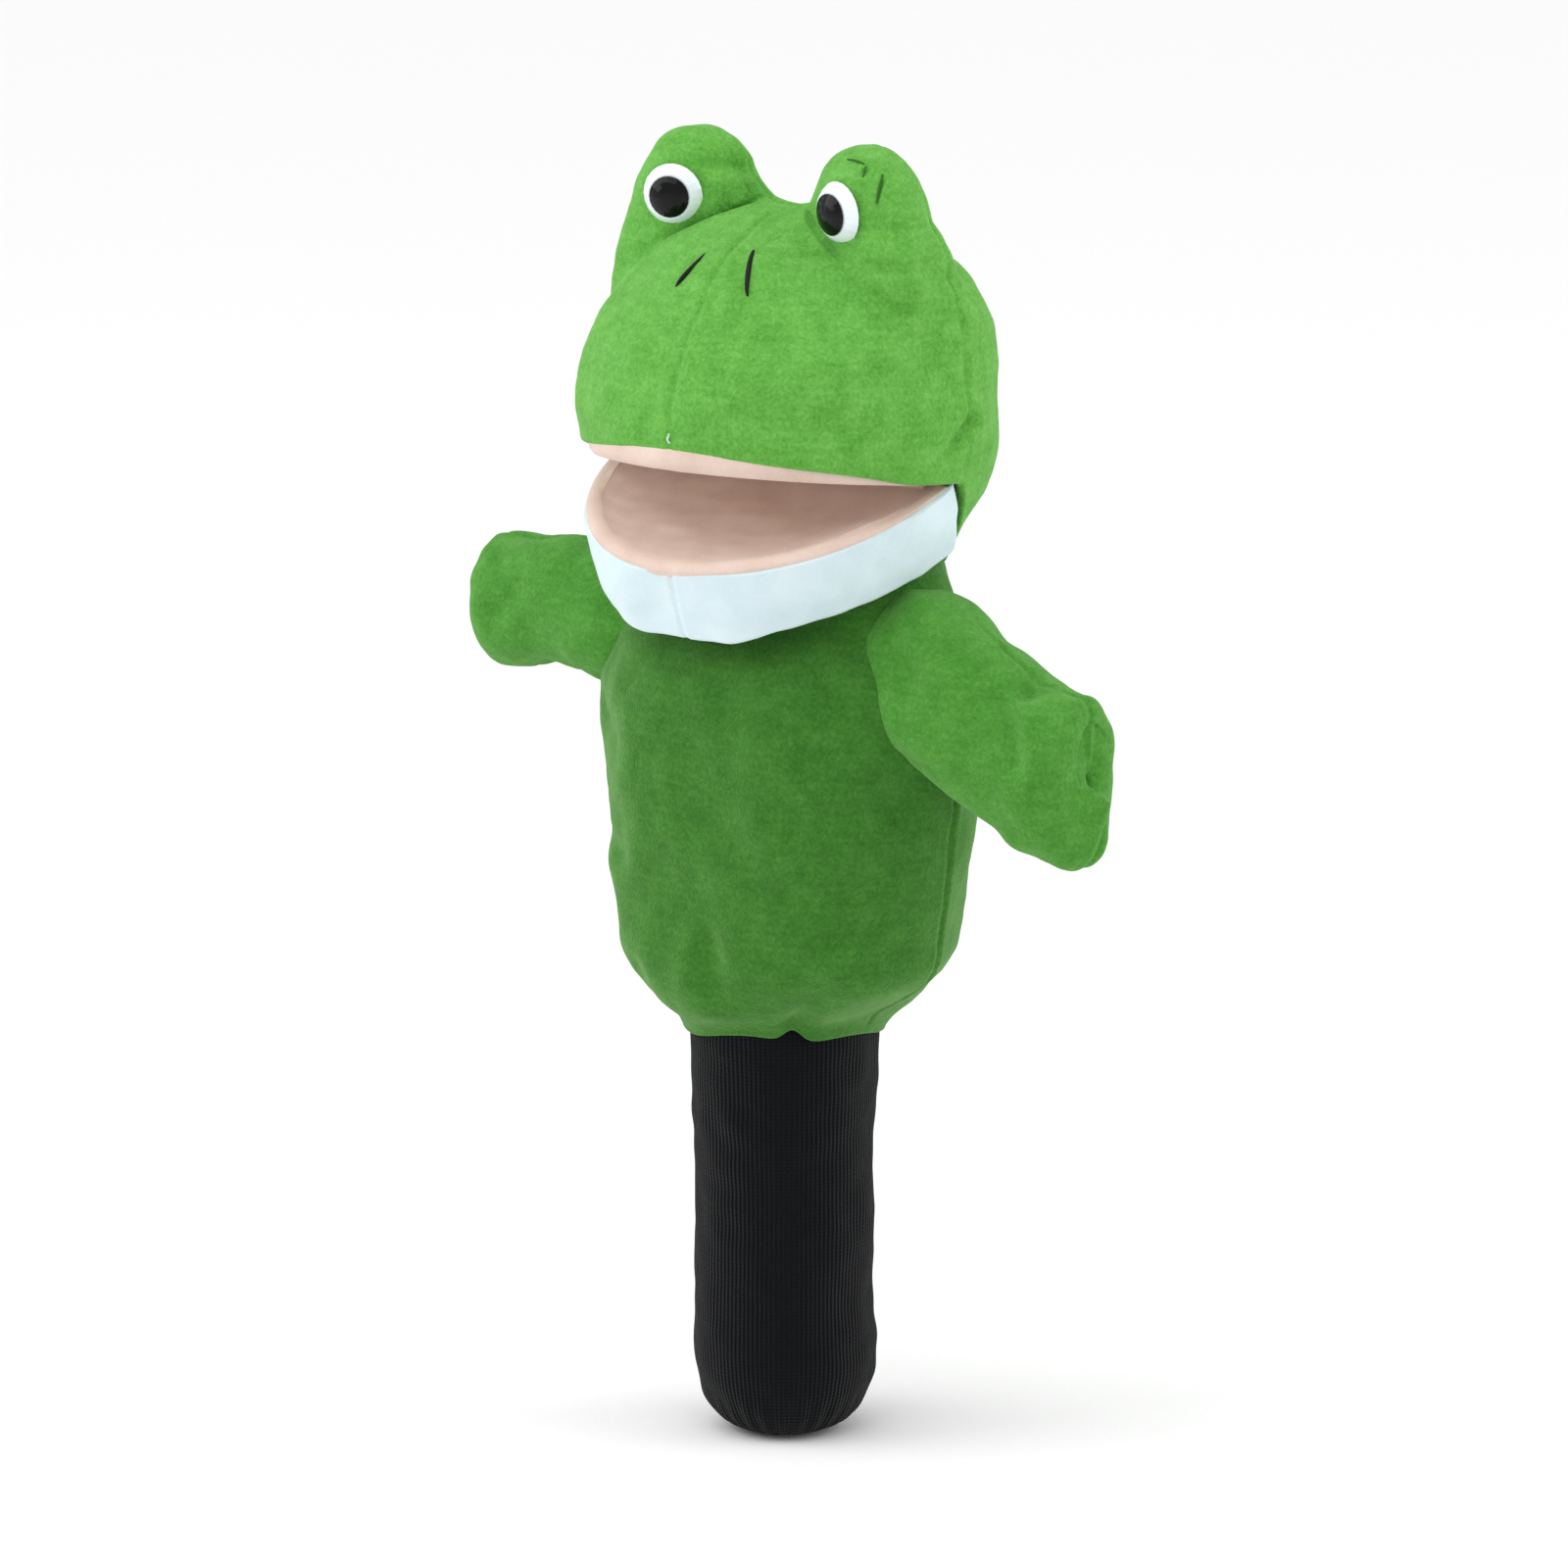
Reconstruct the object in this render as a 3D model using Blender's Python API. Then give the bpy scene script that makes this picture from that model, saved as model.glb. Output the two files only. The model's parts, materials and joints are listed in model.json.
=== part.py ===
"""Frog hand puppet: plush head and body on a knitted sleeve. Metres, +Z up, the frog faces -Y.

The origin is the centre of the sleeve's drawn-in end. The frog's own left is +X. Sizes below are in
millimetres and are turned to metres where a mesh is made.
"""
import math

import bmesh
import bpy
from mathutils import Matrix, Vector

MM = 0.001
SEAM_GAP = 0.3            # clear space between neighbouring pieces
FILLING_GAP = 1.5         # clear space between a filling and the cover around it

# Sleeve: a rib-knit sock of two layers with an elastic in its drawn-in end.
SLEEVE_RADIUS = 26.4
SLEEVE_DOME = 22.0        # height of the rounded lower end
SLEEVE_SQUARENESS = 2.2
SLEEVE_FLAT = 13.0        # outer radius of the flat rim that the sleeve rests on
SLEEVE_MOUTH = 10.0       # relaxed radius of the arm opening
SLEEVE_TOP = 122.0
SLEEVE_SECTIONS = ((22.0, 26.4), (50.0, 25.5), (75.0, 25.9), (100.0, 26.4), (112.0, 26.2), (122.0, 25.6))
KNIT_THICK = 1.2
ELASTIC_RADIUS = 12.6
ELASTIC_THICK = 1.1

# Body bag: height, half width, depth in front, depth behind.
BODY_SECTIONS = (
    (121.0, 29.2, 29.2, 29.2), (127.0, 39.0, 33.0, 33.0), (134.0, 46.0, 36.0, 36.0),
    (143.0, 53.5, 38.5, 38.5), (158.0, 56.5, 39.0, 39.0), (180.0, 58.5, 40.0, 40.0),
    (205.0, 61.0, 40.5, 41.0), (219.0, 61.5, 37.0, 41.0), (231.0, 58.0, 30.0, 40.0),
    (240.0, 50.0, 26.0, 36.0), (248.0, 45.0, 25.0, 33.5), (264.0, 44.0, 25.0, 33.0),
)
LINING_SECTIONS = (
    (126.0, 31.0, 28.6, 28.6), (136.0, 40.0, 32.0, 32.0), (150.0, 44.0, 33.0, 33.0),
    (200.0, 44.0, 34.0, 35.0), (220.0, 44.0, 30.0, 35.0), (236.0, 43.0, 23.5, 33.0),
    (248.0, 41.0, 21.5, 30.0), (264.0, 40.0, 21.5, 29.5),
)
BODY_PLUSH = 1.8
LINING_THICK = 1.2
NECK_HEIGHT = 254.0       # height of the neck edge at the middle of its slant
NECK_SLANT = 0.25         # rise of the neck edge towards the back
WRIST_PIVOT = (0.0, 0.0, 124.0)
NOD_PIVOT = (0.0, 0.0, 258.0)

# Head: a dome with a sloping muzzle in front.
HEAD_WAIST = 300.0        # height where the head is widest
HEAD_RISE = 57.5
HEAD_HALF_WIDTH = 62.0
HEAD_DEPTH = 58.0
HEAD_BASE = 259.0
HEAD_TUCK = 0.565         # how fast the head narrows below its widest height
HEAD_TUCK_SPAN = 70.0
SIDE_SQUARENESS = 2.4
FRONT_SQUARENESS = 1.7
BACK_SQUARENESS = 2.2
HEAD_PLUSH = 3.0
HEAD_TOP_ANGLE = 87.0
JAW_CLEARANCE = 0.62      # backward slant of the head's lower front edge, for the jaw to swing past

# Eye bumps and eyes.
BUMP_CENTRE = (29.2, 0.6, 360.0)
BUMP_RADII = (18.5, 13.0, 19.3)
BUMP_PLUSH = 2.2
EYE_POINT = (29.0, -13.7, 360.0)
EYE_TOE_IN = 16.0
EYE_TIP_DOWN = 4.0
EYE_RADIUS = 9.0
EYE_HEIGHT = 5.4
PUPIL_RADIUS = 6.0
SHANK_RADIUS = 2.2
SHANK_LENGTH = 11.0
WASHER_RADIUS = 6.0
WASHER_DEPTH = 6.9        # how far behind the eye its washer is clamped

# Mouth.
HINGE_POINT = (0.0, 0.0, 283.0)
PALATE_PITCH = -10.0
TONGUE_PITCH = 22.0
MOUTH_BACK = -4.0         # back edge of the mouth's boards, clear of the fold
PALATE_HALF_WIDTH = 57.0
PALATE_DEPTH = 56.0
CLOTH_THICK = 2.6
BOARD_THICK = 1.5
JAW_HALF_WIDTH = 57.0
JAW_DEPTH = 60.0
CHIN_PLUSH = 2.6
CHIN_PROFILE = ((1.0, -0.3), (0.99, -8.0), (0.94, -15.0), (0.86, -21.0))
FOLD_RADIUS = 2.2
FOLD_HALF_LENGTH = 50.0
GUSSET_RADIUS = 7.0

# Arms: where each one hangs, which way it points and how long it is.
SHOULDER = (56.0, -3.0, 225.0)
ARM_LEFT = (58.0, -3.0, -22.0)
ARM_RIGHT = (-50.0, 4.0, 6.0)
ARM_LEFT_LENGTH = 60.0
ARM_RIGHT_LENGTH = 52.0
ARM_SECTIONS = ((0.02, 14.0, 13.0), (0.13, 15.0, 14.5), (0.22, 15.9, 16.0), (0.34, 18.5, 17.5),
                (0.52, 21.5, 19.0), (0.72, 23.0, 19.5), (0.88, 21.0, 16.5), (0.96, 15.0, 11.0),
                (1.0, 5.0, 4.0))
ARM_PLUSH = 2.0
ARMHOLE_RADIUS = 20.5

# Small clearances and details
LIP_CLEARANCE = 0.6          # plush lip above the palate cloth
REAR_START = 1.2             # extra gap between jaw and rear panel below the hinge
BUMP_HOLE_GAP = 0.2          # extra room round a bump where it passes the head cover
FILLING_HOLE_GAP = 0.6       # extra room round a bump inside the muzzle filling
HEAD_WAIST_SHARE = 0.3       # share of a head panel's length that lies below the waist
LIP_SECTION_DROP = 10.0      # below the waist, where the lip's outline is taken
HOOD_LOWEST = 146.0          # degrees from a bump's top down to the hood's edge
WASHER_THICK = 1.6
WASHER_POCKET_DEPTH = 2.2
PUPIL_EDGE_HEIGHT = 1.6
NOSTRIL_TOP = (5.6, 349.7)
NOSTRIL_BOTTOM = (12.1, 340.0)
NOSTRIL_LIFT = 1.3
NOSTRIL_HALF_THICK = 0.9
NOSTRIL_WIDTH_RATIO = 1.4
BOARD_HALF_WIDTH = 49.0
PALATE_BOARD_DEPTH = 50.0
TONGUE_BOARD_DEPTH = 53.0
FINGER_POCKET_RADII = (44.0, 34.0, 26.0)
THUMB_POCKET_RADII = (22.0, 26.0, 13.5)
THUMB_POCKET_BACK = -24.0
TONGUE_CLEARANCE = 0.5       # tongue cloth inside the chin band
GUSSET_GAP = 0.6             # gusset beside the end of the fold
GUSSET_THICK = 2.2


def material(name, colour, roughness, metallic=0.0):
    """Principled material of one colour."""
    made = bpy.data.materials.new(name)
    made.use_nodes = True
    shader = made.node_tree.nodes["Principled BSDF"]
    shader.inputs["Base Color"].default_value = (*colour, 1.0)
    shader.inputs["Roughness"].default_value = roughness
    shader.inputs["Metallic"].default_value = metallic
    made.diffuse_color = (*colour, 1.0)
    return made


def axis_empty(name, point, parent=None):
    """Empty that stands on a joint's axis."""
    empty = bpy.data.objects.new(name, None)
    bpy.context.collection.objects.link(empty)
    empty.location = Vector(point) * MM
    bpy.context.view_layer.update()
    if parent:
        empty.parent = parent
        empty.matrix_parent_inverse = parent.matrix_world.inverted()
        bpy.context.view_layer.update()
    return empty


def add_piece(name, bm, finish, parent=None, sharp=50.0):
    """Turn a bmesh in world millimetres into a named object that hangs on its joint's empty."""
    bmesh.ops.scale(bm, vec=(MM, MM, MM), verts=bm.verts)
    bmesh.ops.remove_doubles(bm, verts=bm.verts, dist=1e-6)
    bmesh.ops.recalc_face_normals(bm, faces=bm.faces)
    mesh = bpy.data.meshes.new(name)
    bm.to_mesh(mesh)
    bm.free()
    mesh.shade_smooth()
    mesh.set_sharp_from_angle(angle=math.radians(sharp))
    piece = bpy.data.objects.new(name, mesh)
    bpy.context.collection.objects.link(piece)
    if finish:
        mesh.materials.append(finish)
    if parent:
        piece.parent = parent
        piece.matrix_parent_inverse = parent.matrix_world.inverted()
    return piece


def cut(piece, *cutters):
    """Cut holes in a piece with guide solids that are left out of the build."""
    for cutter in cutters:
        cutter.hide_render = True
        cutter.display_type = "WIRE"
        hole = piece.modifiers.new("cut_" + cutter.name, "BOOLEAN")
        hole.operation = "DIFFERENCE"
        hole.solver = "EXACT"
        hole.object = cutter


def shell(outer, inner, across, along, wrap=False):
    """Closed solid between two surfaces that both run over u and v from 0 to 1."""
    bm = bmesh.new()
    columns = across if wrap else across + 1
    grids = []
    for surface in (outer, inner):
        rows = [[bm.verts.new(surface(i / across, j / along)) for i in range(columns)]
                for j in range(along + 1)]
        grids.append(rows)
    skin, under = grids
    spans = range(across)
    for j in range(along):
        for i in spans:
            k = (i + 1) % columns
            bm.faces.new((skin[j][i], skin[j][k], skin[j + 1][k], skin[j + 1][i]))
            bm.faces.new((under[j][i], under[j + 1][i], under[j + 1][k], under[j][k]))
    for j in (0, along):
        for i in spans:
            k = (i + 1) % columns
            bm.faces.new((skin[j][i], under[j][i], under[j][k], skin[j][k]))
    if not wrap:
        for i in (0, across):
            for j in range(along):
                bm.faces.new((skin[j][i], skin[j + 1][i], under[j + 1][i], under[j][i]))
    return bm


def stack(surface, around, along):
    """Solid whose rings follow a surface over u and v, closed by a flat cap at each end."""
    bm = bmesh.new()
    rings = [[bm.verts.new(surface(i / around, j / along)) for i in range(around)] for j in range(along + 1)]
    for low, high in zip(rings, rings[1:]):
        for i in range(around):
            k = (i + 1) % around
            bm.faces.new((low[i], low[k], high[k], high[i]))
    bm.faces.new(rings[0][::-1])
    bm.faces.new(rings[-1])
    return bm


def ellipsoid(centre, radii, segments=24, rings=14):
    """Ellipsoid with its axes along X, Y and Z."""
    bm = bmesh.new()
    bmesh.ops.create_uvsphere(bm, u_segments=segments, v_segments=rings, radius=1.0)
    bmesh.ops.scale(bm, vec=radii, verts=bm.verts)
    bmesh.ops.translate(bm, vec=centre, verts=bm.verts)
    return bm


def turned(profile, place, segments=24):
    """Solid turned about its own Z axis from (radius, height) points, then placed by a matrix."""
    bm = bmesh.new()
    rings = []
    for radius, height in profile:
        if radius == 0.0:
            rings.append([bm.verts.new((0.0, 0.0, height))])
            continue
        turn = [2.0 * math.pi * i / segments for i in range(segments)]
        rings.append([bm.verts.new((radius * math.cos(a), radius * math.sin(a), height)) for a in turn])
    for low, high in zip(rings, rings[1:]):
        for i in range(segments):
            k = (i + 1) % segments
            corners = [low[i % len(low)], low[k % len(low)], high[k % len(high)], high[i % len(high)]]
            bm.faces.new(list(dict.fromkeys(corners)))
    bm.transform(place)
    return bm


def ring_profile(inner, outer, low, high):
    """Closed ring section as (radius, height) points, its first point repeated at the end."""
    return ((inner, low), (outer, low), (outer, high), (inner, high), (inner, low))


def between(sections, height):
    """Values of a table of sections at one height, on a smooth curve through its rows."""
    last = len(sections) - 1
    height = min(max(height, sections[0][0]), sections[last][0])
    low = 0
    while low < last - 1 and height > sections[low + 1][0]:
        low += 1
    first, second = sections[low], sections[low + 1]
    before, after = sections[max(low - 1, 0)], sections[min(low + 2, last)]
    span = second[0] - first[0]
    t = (height - first[0]) / span
    values = []
    for k in range(1, len(first)):
        slope_in = (second[k] - before[k]) / (second[0] - before[0]) * span
        slope_out = (after[k] - first[k]) / (after[0] - first[0]) * span
        values.append((2 * t ** 3 - 3 * t ** 2 + 1) * first[k] + (t ** 3 - 2 * t ** 2 + t) * slope_in
                      + (3 * t ** 2 - 2 * t ** 3) * second[k] + (t ** 3 - t ** 2) * slope_out)
    return values


def oval(angle, half_width, front, back):
    """Point of an oval with its own depth in front and behind."""
    depth = back if math.sin(angle) > 0 else front
    return half_width * math.cos(angle), depth * math.sin(angle)


# ---- sleeve -------------------------------------------------------------------------------------

def sleeve_profile(inset, start_radius, top):
    """Radius and height down the sleeve's side, from its drawn-in end up to its hidden top."""
    radius, rise = SLEEVE_RADIUS - inset, SLEEVE_DOME - inset
    power = 2.0 / SLEEVE_SQUARENESS
    lowest = math.asin((start_radius / radius) ** (1.0 / power))
    rim_angle = math.asin((SLEEVE_FLAT / radius) ** (1.0 / power))
    shift = rise * (1 - math.cos(rim_angle) ** power)
    steps = 5
    points = []
    for k in range(steps):
        angle = lowest + (math.pi / 2 - lowest) * k / steps
        height = (rise * (1 - math.cos(angle) ** power) - shift) * rise / (rise - shift) + inset
        points.append((radius * math.sin(angle) ** power, height))
    levels = 5
    for k in range(levels + 1):
        height = SLEEVE_DOME + (top - SLEEVE_DOME) * k / levels
        points.append((between(SLEEVE_SECTIONS, height)[0] - inset, height))
    return points


def sleeve_layer(name, inset, start_radius, top, finish, rim=()):
    """One knitted layer of the sleeve."""
    outside = list(rim) + sleeve_profile(inset, start_radius, top)
    inside = sleeve_profile(inset + KNIT_THICK, start_radius, top)
    if rim:
        inside.insert(0, (rim[0][0], KNIT_THICK))
    loop = outside + inside[::-1] + [outside[0]]
    return add_piece(name, turned(loop, Matrix.Identity(4), segments=28), finish)


def build_sleeve(knit, rubber):
    """Two knitted layers and the elastic that draws the end in."""
    sleeve_layer("sleeve_outer_layer", 0.0, SLEEVE_FLAT, SLEEVE_TOP, knit, rim=((SLEEVE_MOUTH, 0.0),))
    sleeve_layer("sleeve_inner_layer", KNIT_THICK + SEAM_GAP, SLEEVE_FLAT + 3.0, SLEEVE_TOP - 2.0, knit)
    middle = KNIT_THICK + 2 * SEAM_GAP + ELASTIC_THICK
    steps = 6
    section = [(ELASTIC_RADIUS + ELASTIC_THICK * math.cos(2 * math.pi * k / steps),
                middle + ELASTIC_THICK * math.sin(2 * math.pi * k / steps)) for k in range(steps)]
    section.append(section[0])
    add_piece("cuff_elastic", turned(section, Matrix.Identity(4), segments=24), rubber)


# ---- body bag -----------------------------------------------------------------------------------

def bag_point(sections, angle, v, inset):
    """Point on the bag's side: v runs from the hem up to the slanted neck edge."""
    low = sections[0][0]
    neck_depth = oval(angle, *between(sections, NECK_HEIGHT))[1]
    high = NECK_HEIGHT + NECK_SLANT * neck_depth
    height = low + (high - low) * v
    width, front, back = (size - inset for size in between(sections, height))
    x, y = oval(angle, width, front, back)
    return Vector((x, y, height))


def bag_panel(name, sections, start, end, inset, thick, finish, parent, wrap=False):
    """Part of the bag's wall between two angles about the middle."""
    def at(depth):
        return lambda u, v: bag_point(sections, start + (end - start) * u, v, depth)
    across = 24 if wrap else 14
    bm = shell(at(inset), at(inset + thick), across, 12, wrap)
    return add_piece(name, bm, finish, parent)


def build_body(plush, lining, parent):
    """Front and back panels with their armholes, and the lining tube inside."""
    seam = SEAM_GAP / 2 / BODY_SECTIONS[0][1]
    front = bag_panel("body_front_panel", BODY_SECTIONS, math.pi + seam, 2 * math.pi - seam, 0.0,
                      BODY_PLUSH, plush, parent)
    back = bag_panel("body_back_panel", BODY_SECTIONS, seam, math.pi - seam, 0.0,
                     BODY_PLUSH, plush, parent)
    bag_panel("body_lining", LINING_SECTIONS, 0.0, 2 * math.pi, 0.0, LINING_THICK, lining, parent, wrap=True)
    for side, label in ((1, "left"), (-1, "right")):
        point = (side * SHOULDER[0], SHOULDER[1], SHOULDER[2])
        hole = add_piece("armhole_cutter_" + label, ellipsoid(point, (ARMHOLE_RADIUS,) * 3, 20, 12), None, parent)
        cut(front, hole)
        cut(back, hole)


# ---- head ---------------------------------------------------------------------------------------

def dome_factor(rise, power):
    """Share of the full radius left at a share of the full rise."""
    return max(0.0, 1.0 - min(rise, 1.0) ** power) ** (1.0 / power)


def head_section(height, inset):
    """Half width, front depth and back depth of the head at one height."""
    width, depth = HEAD_HALF_WIDTH - inset, HEAD_DEPTH - inset
    if height <= HEAD_WAIST:
        tuck = 1.0 - HEAD_TUCK * ((HEAD_WAIST - height) / HEAD_TUCK_SPAN) ** 2
        return width * tuck, depth * tuck, depth * tuck
    rise = (height - HEAD_WAIST) / (HEAD_RISE - inset)
    return (width * dome_factor(rise, SIDE_SQUARENESS), depth * dome_factor(rise, FRONT_SQUARENESS),
            depth * dome_factor(rise, BACK_SQUARENESS))


def head_height(low, v, inset):
    """Height at share v of the way up: even steps to the waist, then even turns over the dome."""
    share = HEAD_WAIST_SHARE
    if v < share:
        return low + (HEAD_WAIST - low) * v / share
    turn = math.radians(HEAD_TOP_ANGLE) * (v - share) / (1.0 - share)
    return HEAD_WAIST + (HEAD_RISE - inset) * math.sin(turn)


def lip_height(y):
    """Height of the plush lip's edge above the mouth cloth."""
    return HINGE_POINT[2] + CLOTH_THICK + LIP_CLEARANCE - y * math.tan(math.radians(-PALATE_PITCH))


def muzzle_point(angle, v, inset, lift=0.0):
    """Point on the muzzle: v runs from the lip, or a lift above it, to the crown."""
    y_at_lip = oval(angle, *head_section(HEAD_WAIST - LIP_SECTION_DROP, inset))[1]
    height = head_height(lip_height(y_at_lip) + lift, v, inset)
    x, y = oval(angle, *head_section(height, inset))
    return Vector((x, y, height))


def back_edge(height):
    """How far back the head's rear panels start at one height."""
    drop = max(0.0, HINGE_POINT[2] - height)
    return SEAM_GAP / 2 + (REAR_START + JAW_CLEARANCE * drop if drop > 0 else 0.0)


def rear_point(u, v, inset, side):
    """Point on a rear panel: u runs from the side seam to the middle of the back."""
    height = head_height(HEAD_BASE, v, inset)
    width, front, back = head_section(height, inset)
    start = math.asin(min(1.0, back_edge(height) / back))
    end = math.pi / 2 - SEAM_GAP / 2 / width
    x, y = oval(start + (end - start) * u, width, front, back)
    return Vector((side * x, y, height))


def build_head_covers(plush, parent):
    """Two muzzle panels and two rear panels, holed for the eye bumps."""
    seam = SEAM_GAP / 2 / HEAD_DEPTH
    for side, label in ((1, "left"), (-1, "right")):
        place = (side * BUMP_CENTRE[0], BUMP_CENTRE[1], BUMP_CENTRE[2])
        radii = tuple(r + SEAM_GAP + BUMP_HOLE_GAP for r in BUMP_RADII)
        hole = add_piece("bump_cutter_" + label, ellipsoid(place, radii, 18, 12), None, parent)

        def muzzle(inset, side=side):
            def at(u, v):
                point = muzzle_point(-math.pi / 2 + seam + (math.pi / 2 - 2 * seam) * u, v, inset)
                return Vector((side * point.x, point.y, point.z))
            return at

        def rear(inset, side=side):
            return lambda u, v: rear_point(u, v, inset, side)

        front = add_piece("muzzle_%s_panel" % label, shell(muzzle(0.0), muzzle(HEAD_PLUSH), 9, 10),
                          plush, parent)
        behind = add_piece("head_back_%s_panel" % label, shell(rear(0.0), rear(HEAD_PLUSH), 9, 10),
                           plush, parent)
        cut(front, hole)
        cut(behind, hole)


def eye_frame(side):
    """Matrix that puts a part's Z axis along one eye's outward axis, at the eye's seat."""
    toe = math.radians(EYE_TOE_IN)
    tip = math.radians(EYE_TIP_DOWN)
    outward = Vector((-side * math.sin(toe) * math.cos(tip), -math.cos(toe) * math.cos(tip), -math.sin(tip)))
    seat = Vector((side * EYE_POINT[0], EYE_POINT[1], EYE_POINT[2]))
    return Matrix.Translation(seat) @ outward.to_track_quat("Z", "Y").to_matrix().to_4x4()


def dome_arc(start, end, steps):
    """Points (radius, height) on the eye's dome between two radii."""
    ball = (EYE_RADIUS ** 2 + EYE_HEIGHT ** 2) / (2 * EYE_HEIGHT)
    sink = ball - EYE_HEIGHT
    radii = [start + (end - start) * k / steps for k in range(steps + 1)]
    return [(r, math.sqrt(ball ** 2 - r ** 2) - sink) for r in radii]


def build_eyes(white, black, washer_finish, plush, filling, parent):
    """Bump hoods, their filling, and safety eyes clamped through the hoods by washers."""
    for side, label in ((1, "left"), (-1, "right")):
        frame = eye_frame(side)
        centre = Vector((side * BUMP_CENTRE[0], BUMP_CENTRE[1], BUMP_CENTRE[2]))

        def hood(inset, centre=centre):
            radii = [r - inset for r in BUMP_RADII]
            lowest = math.radians(HOOD_LOWEST)

            def at(u, v):
                turn, down = 2 * math.pi * u, lowest * v
                return centre + Vector((radii[0] * math.cos(turn) * math.sin(down),
                                        radii[1] * math.sin(turn) * math.sin(down),
                                        radii[2] * math.cos(down)))
            return at

        cover = add_piece("eye_bump_" + label, shell(hood(0.0), hood(BUMP_PLUSH), 18, 8, wrap=True),
                          plush, parent)
        ball = add_piece("bump_filling_" + label,
                         ellipsoid(centre, [r - BUMP_PLUSH - FILLING_GAP for r in BUMP_RADII], 14, 8),
                         filling, parent)
        bore = SHANK_RADIUS + SEAM_GAP
        drill = add_piece("shank_cutter_" + label,
                          turned(((0, -SHANK_LENGTH - 1), (bore, -SHANK_LENGTH - 1), (bore, 3), (0, 3)), frame),
                          None, parent)
        pocket, deep = WASHER_RADIUS + SEAM_GAP, -WASHER_DEPTH - WASHER_POCKET_DEPTH
        clear = add_piece("washer_cutter_" + label,
                          turned(((0, deep), (pocket, deep), (pocket, 3), (0, 3)), frame), None, parent)
        cut(cover, drill)
        cut(ball, drill, clear)
        ledge = PUPIL_RADIUS + 2 * SEAM_GAP
        flat = dome_arc(ledge, ledge, 1)[0][1]
        body = [(0, -SHANK_LENGTH), (SHANK_RADIUS, -SHANK_LENGTH), (SHANK_RADIUS, 0), (EYE_RADIUS, 0)]
        body += dome_arc(EYE_RADIUS, ledge, 4)[1:] + [(0, flat)]
        add_piece("eye_dome_" + label, turned(body, frame, 24), white, parent, sharp=40.0)
        seat = flat + SEAM_GAP
        lens = [(0, seat), (PUPIL_RADIUS, seat)] + dome_arc(PUPIL_RADIUS, PUPIL_EDGE_HEIGHT, 3) + [(0, EYE_HEIGHT)]
        add_piece("eye_pupil_" + label, turned(lens, frame, 24), black, parent, sharp=40.0)
        disc = ring_profile(SHANK_RADIUS + SEAM_GAP, WASHER_RADIUS, -WASHER_DEPTH - WASHER_THICK, -WASHER_DEPTH)
        add_piece("eye_washer_" + label, turned(disc, frame, 18), washer_finish, parent)


def build_nostrils(thread, parent):
    """A short satin stitch either side of the muzzle's middle seam."""
    lift, half_thick = NOSTRIL_LIFT, NOSTRIL_HALF_THICK
    for side, label in ((1, "left"), (-1, "right")):
        ends = []
        for x, height in (NOSTRIL_TOP, NOSTRIL_BOTTOM):
            width, front, _ = head_section(height, 0.0)
            ends.append(Vector((side * x, -front * math.sqrt(1 - (x / width) ** 2) - lift, height + lift)))
        along = ends[1] - ends[0]
        place = Matrix.Translation((ends[0] + ends[1]) / 2) @ along.to_track_quat("X", "Z").to_matrix().to_4x4()
        bm = ellipsoid((0, 0, 0), (along.length / 2, half_thick * NOSTRIL_WIDTH_RATIO, half_thick), 8, 6)
        bm.transform(place)
        add_piece("nostril_stitch_" + label, bm, thread, parent)


# ---- mouth --------------------------------------------------------------------------------------

def pitched(pitch):
    """Matrix that turns a part about the mouth's hinge line."""
    return Matrix.Translation(HINGE_POINT) @ Matrix.Rotation(math.radians(pitch), 4, "X")


def slab(half_width, depth, back, low, high, steps=20):
    """Flat plate with a half-oval outline in front of a straight back edge."""
    bm = bmesh.new()
    start = math.asin(-back / depth)
    turn = [math.pi + start + (math.pi - 2 * start) * k / steps for k in range(steps + 1)]
    rim = [bm.verts.new((half_width * math.cos(a), depth * math.sin(a), low)) for a in turn]
    bottom = bm.faces.new(rim)
    grown = bmesh.ops.extrude_face_region(bm, geom=[bottom])
    raised = [v for v in grown["geom"] if isinstance(v, bmesh.types.BMVert)]
    bmesh.ops.translate(bm, vec=(0, 0, high - low), verts=raised)
    return bm


def mouth_plate(half_width, depth, low, high, pitch):
    """Plate in front of the hinge line, pitched about it."""
    bm = slab(half_width, depth, MOUTH_BACK, low, high)
    bm.transform(pitched(pitch))
    return bm


def dome_pocket(radii, middle, thick, pitch, upward):
    """Finger pocket: a hood that is closed in front and open towards the hinge line."""
    def surface(inset):
        def at(u, v):
            turn = math.pi * (1 + u)
            rise = math.radians(2 + 84 * v)
            x = (radii[0] - inset) * math.cos(turn) * math.cos(rise)
            y = (radii[1] - inset) * math.sin(turn) * math.cos(rise)
            z = (radii[2] - inset) * math.sin(rise)
            return pitched(pitch) @ Vector((x, middle[0] + y, middle[1] + upward * z))
        return at
    return shell(surface(0.0), surface(thick), 12, 6)


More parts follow.
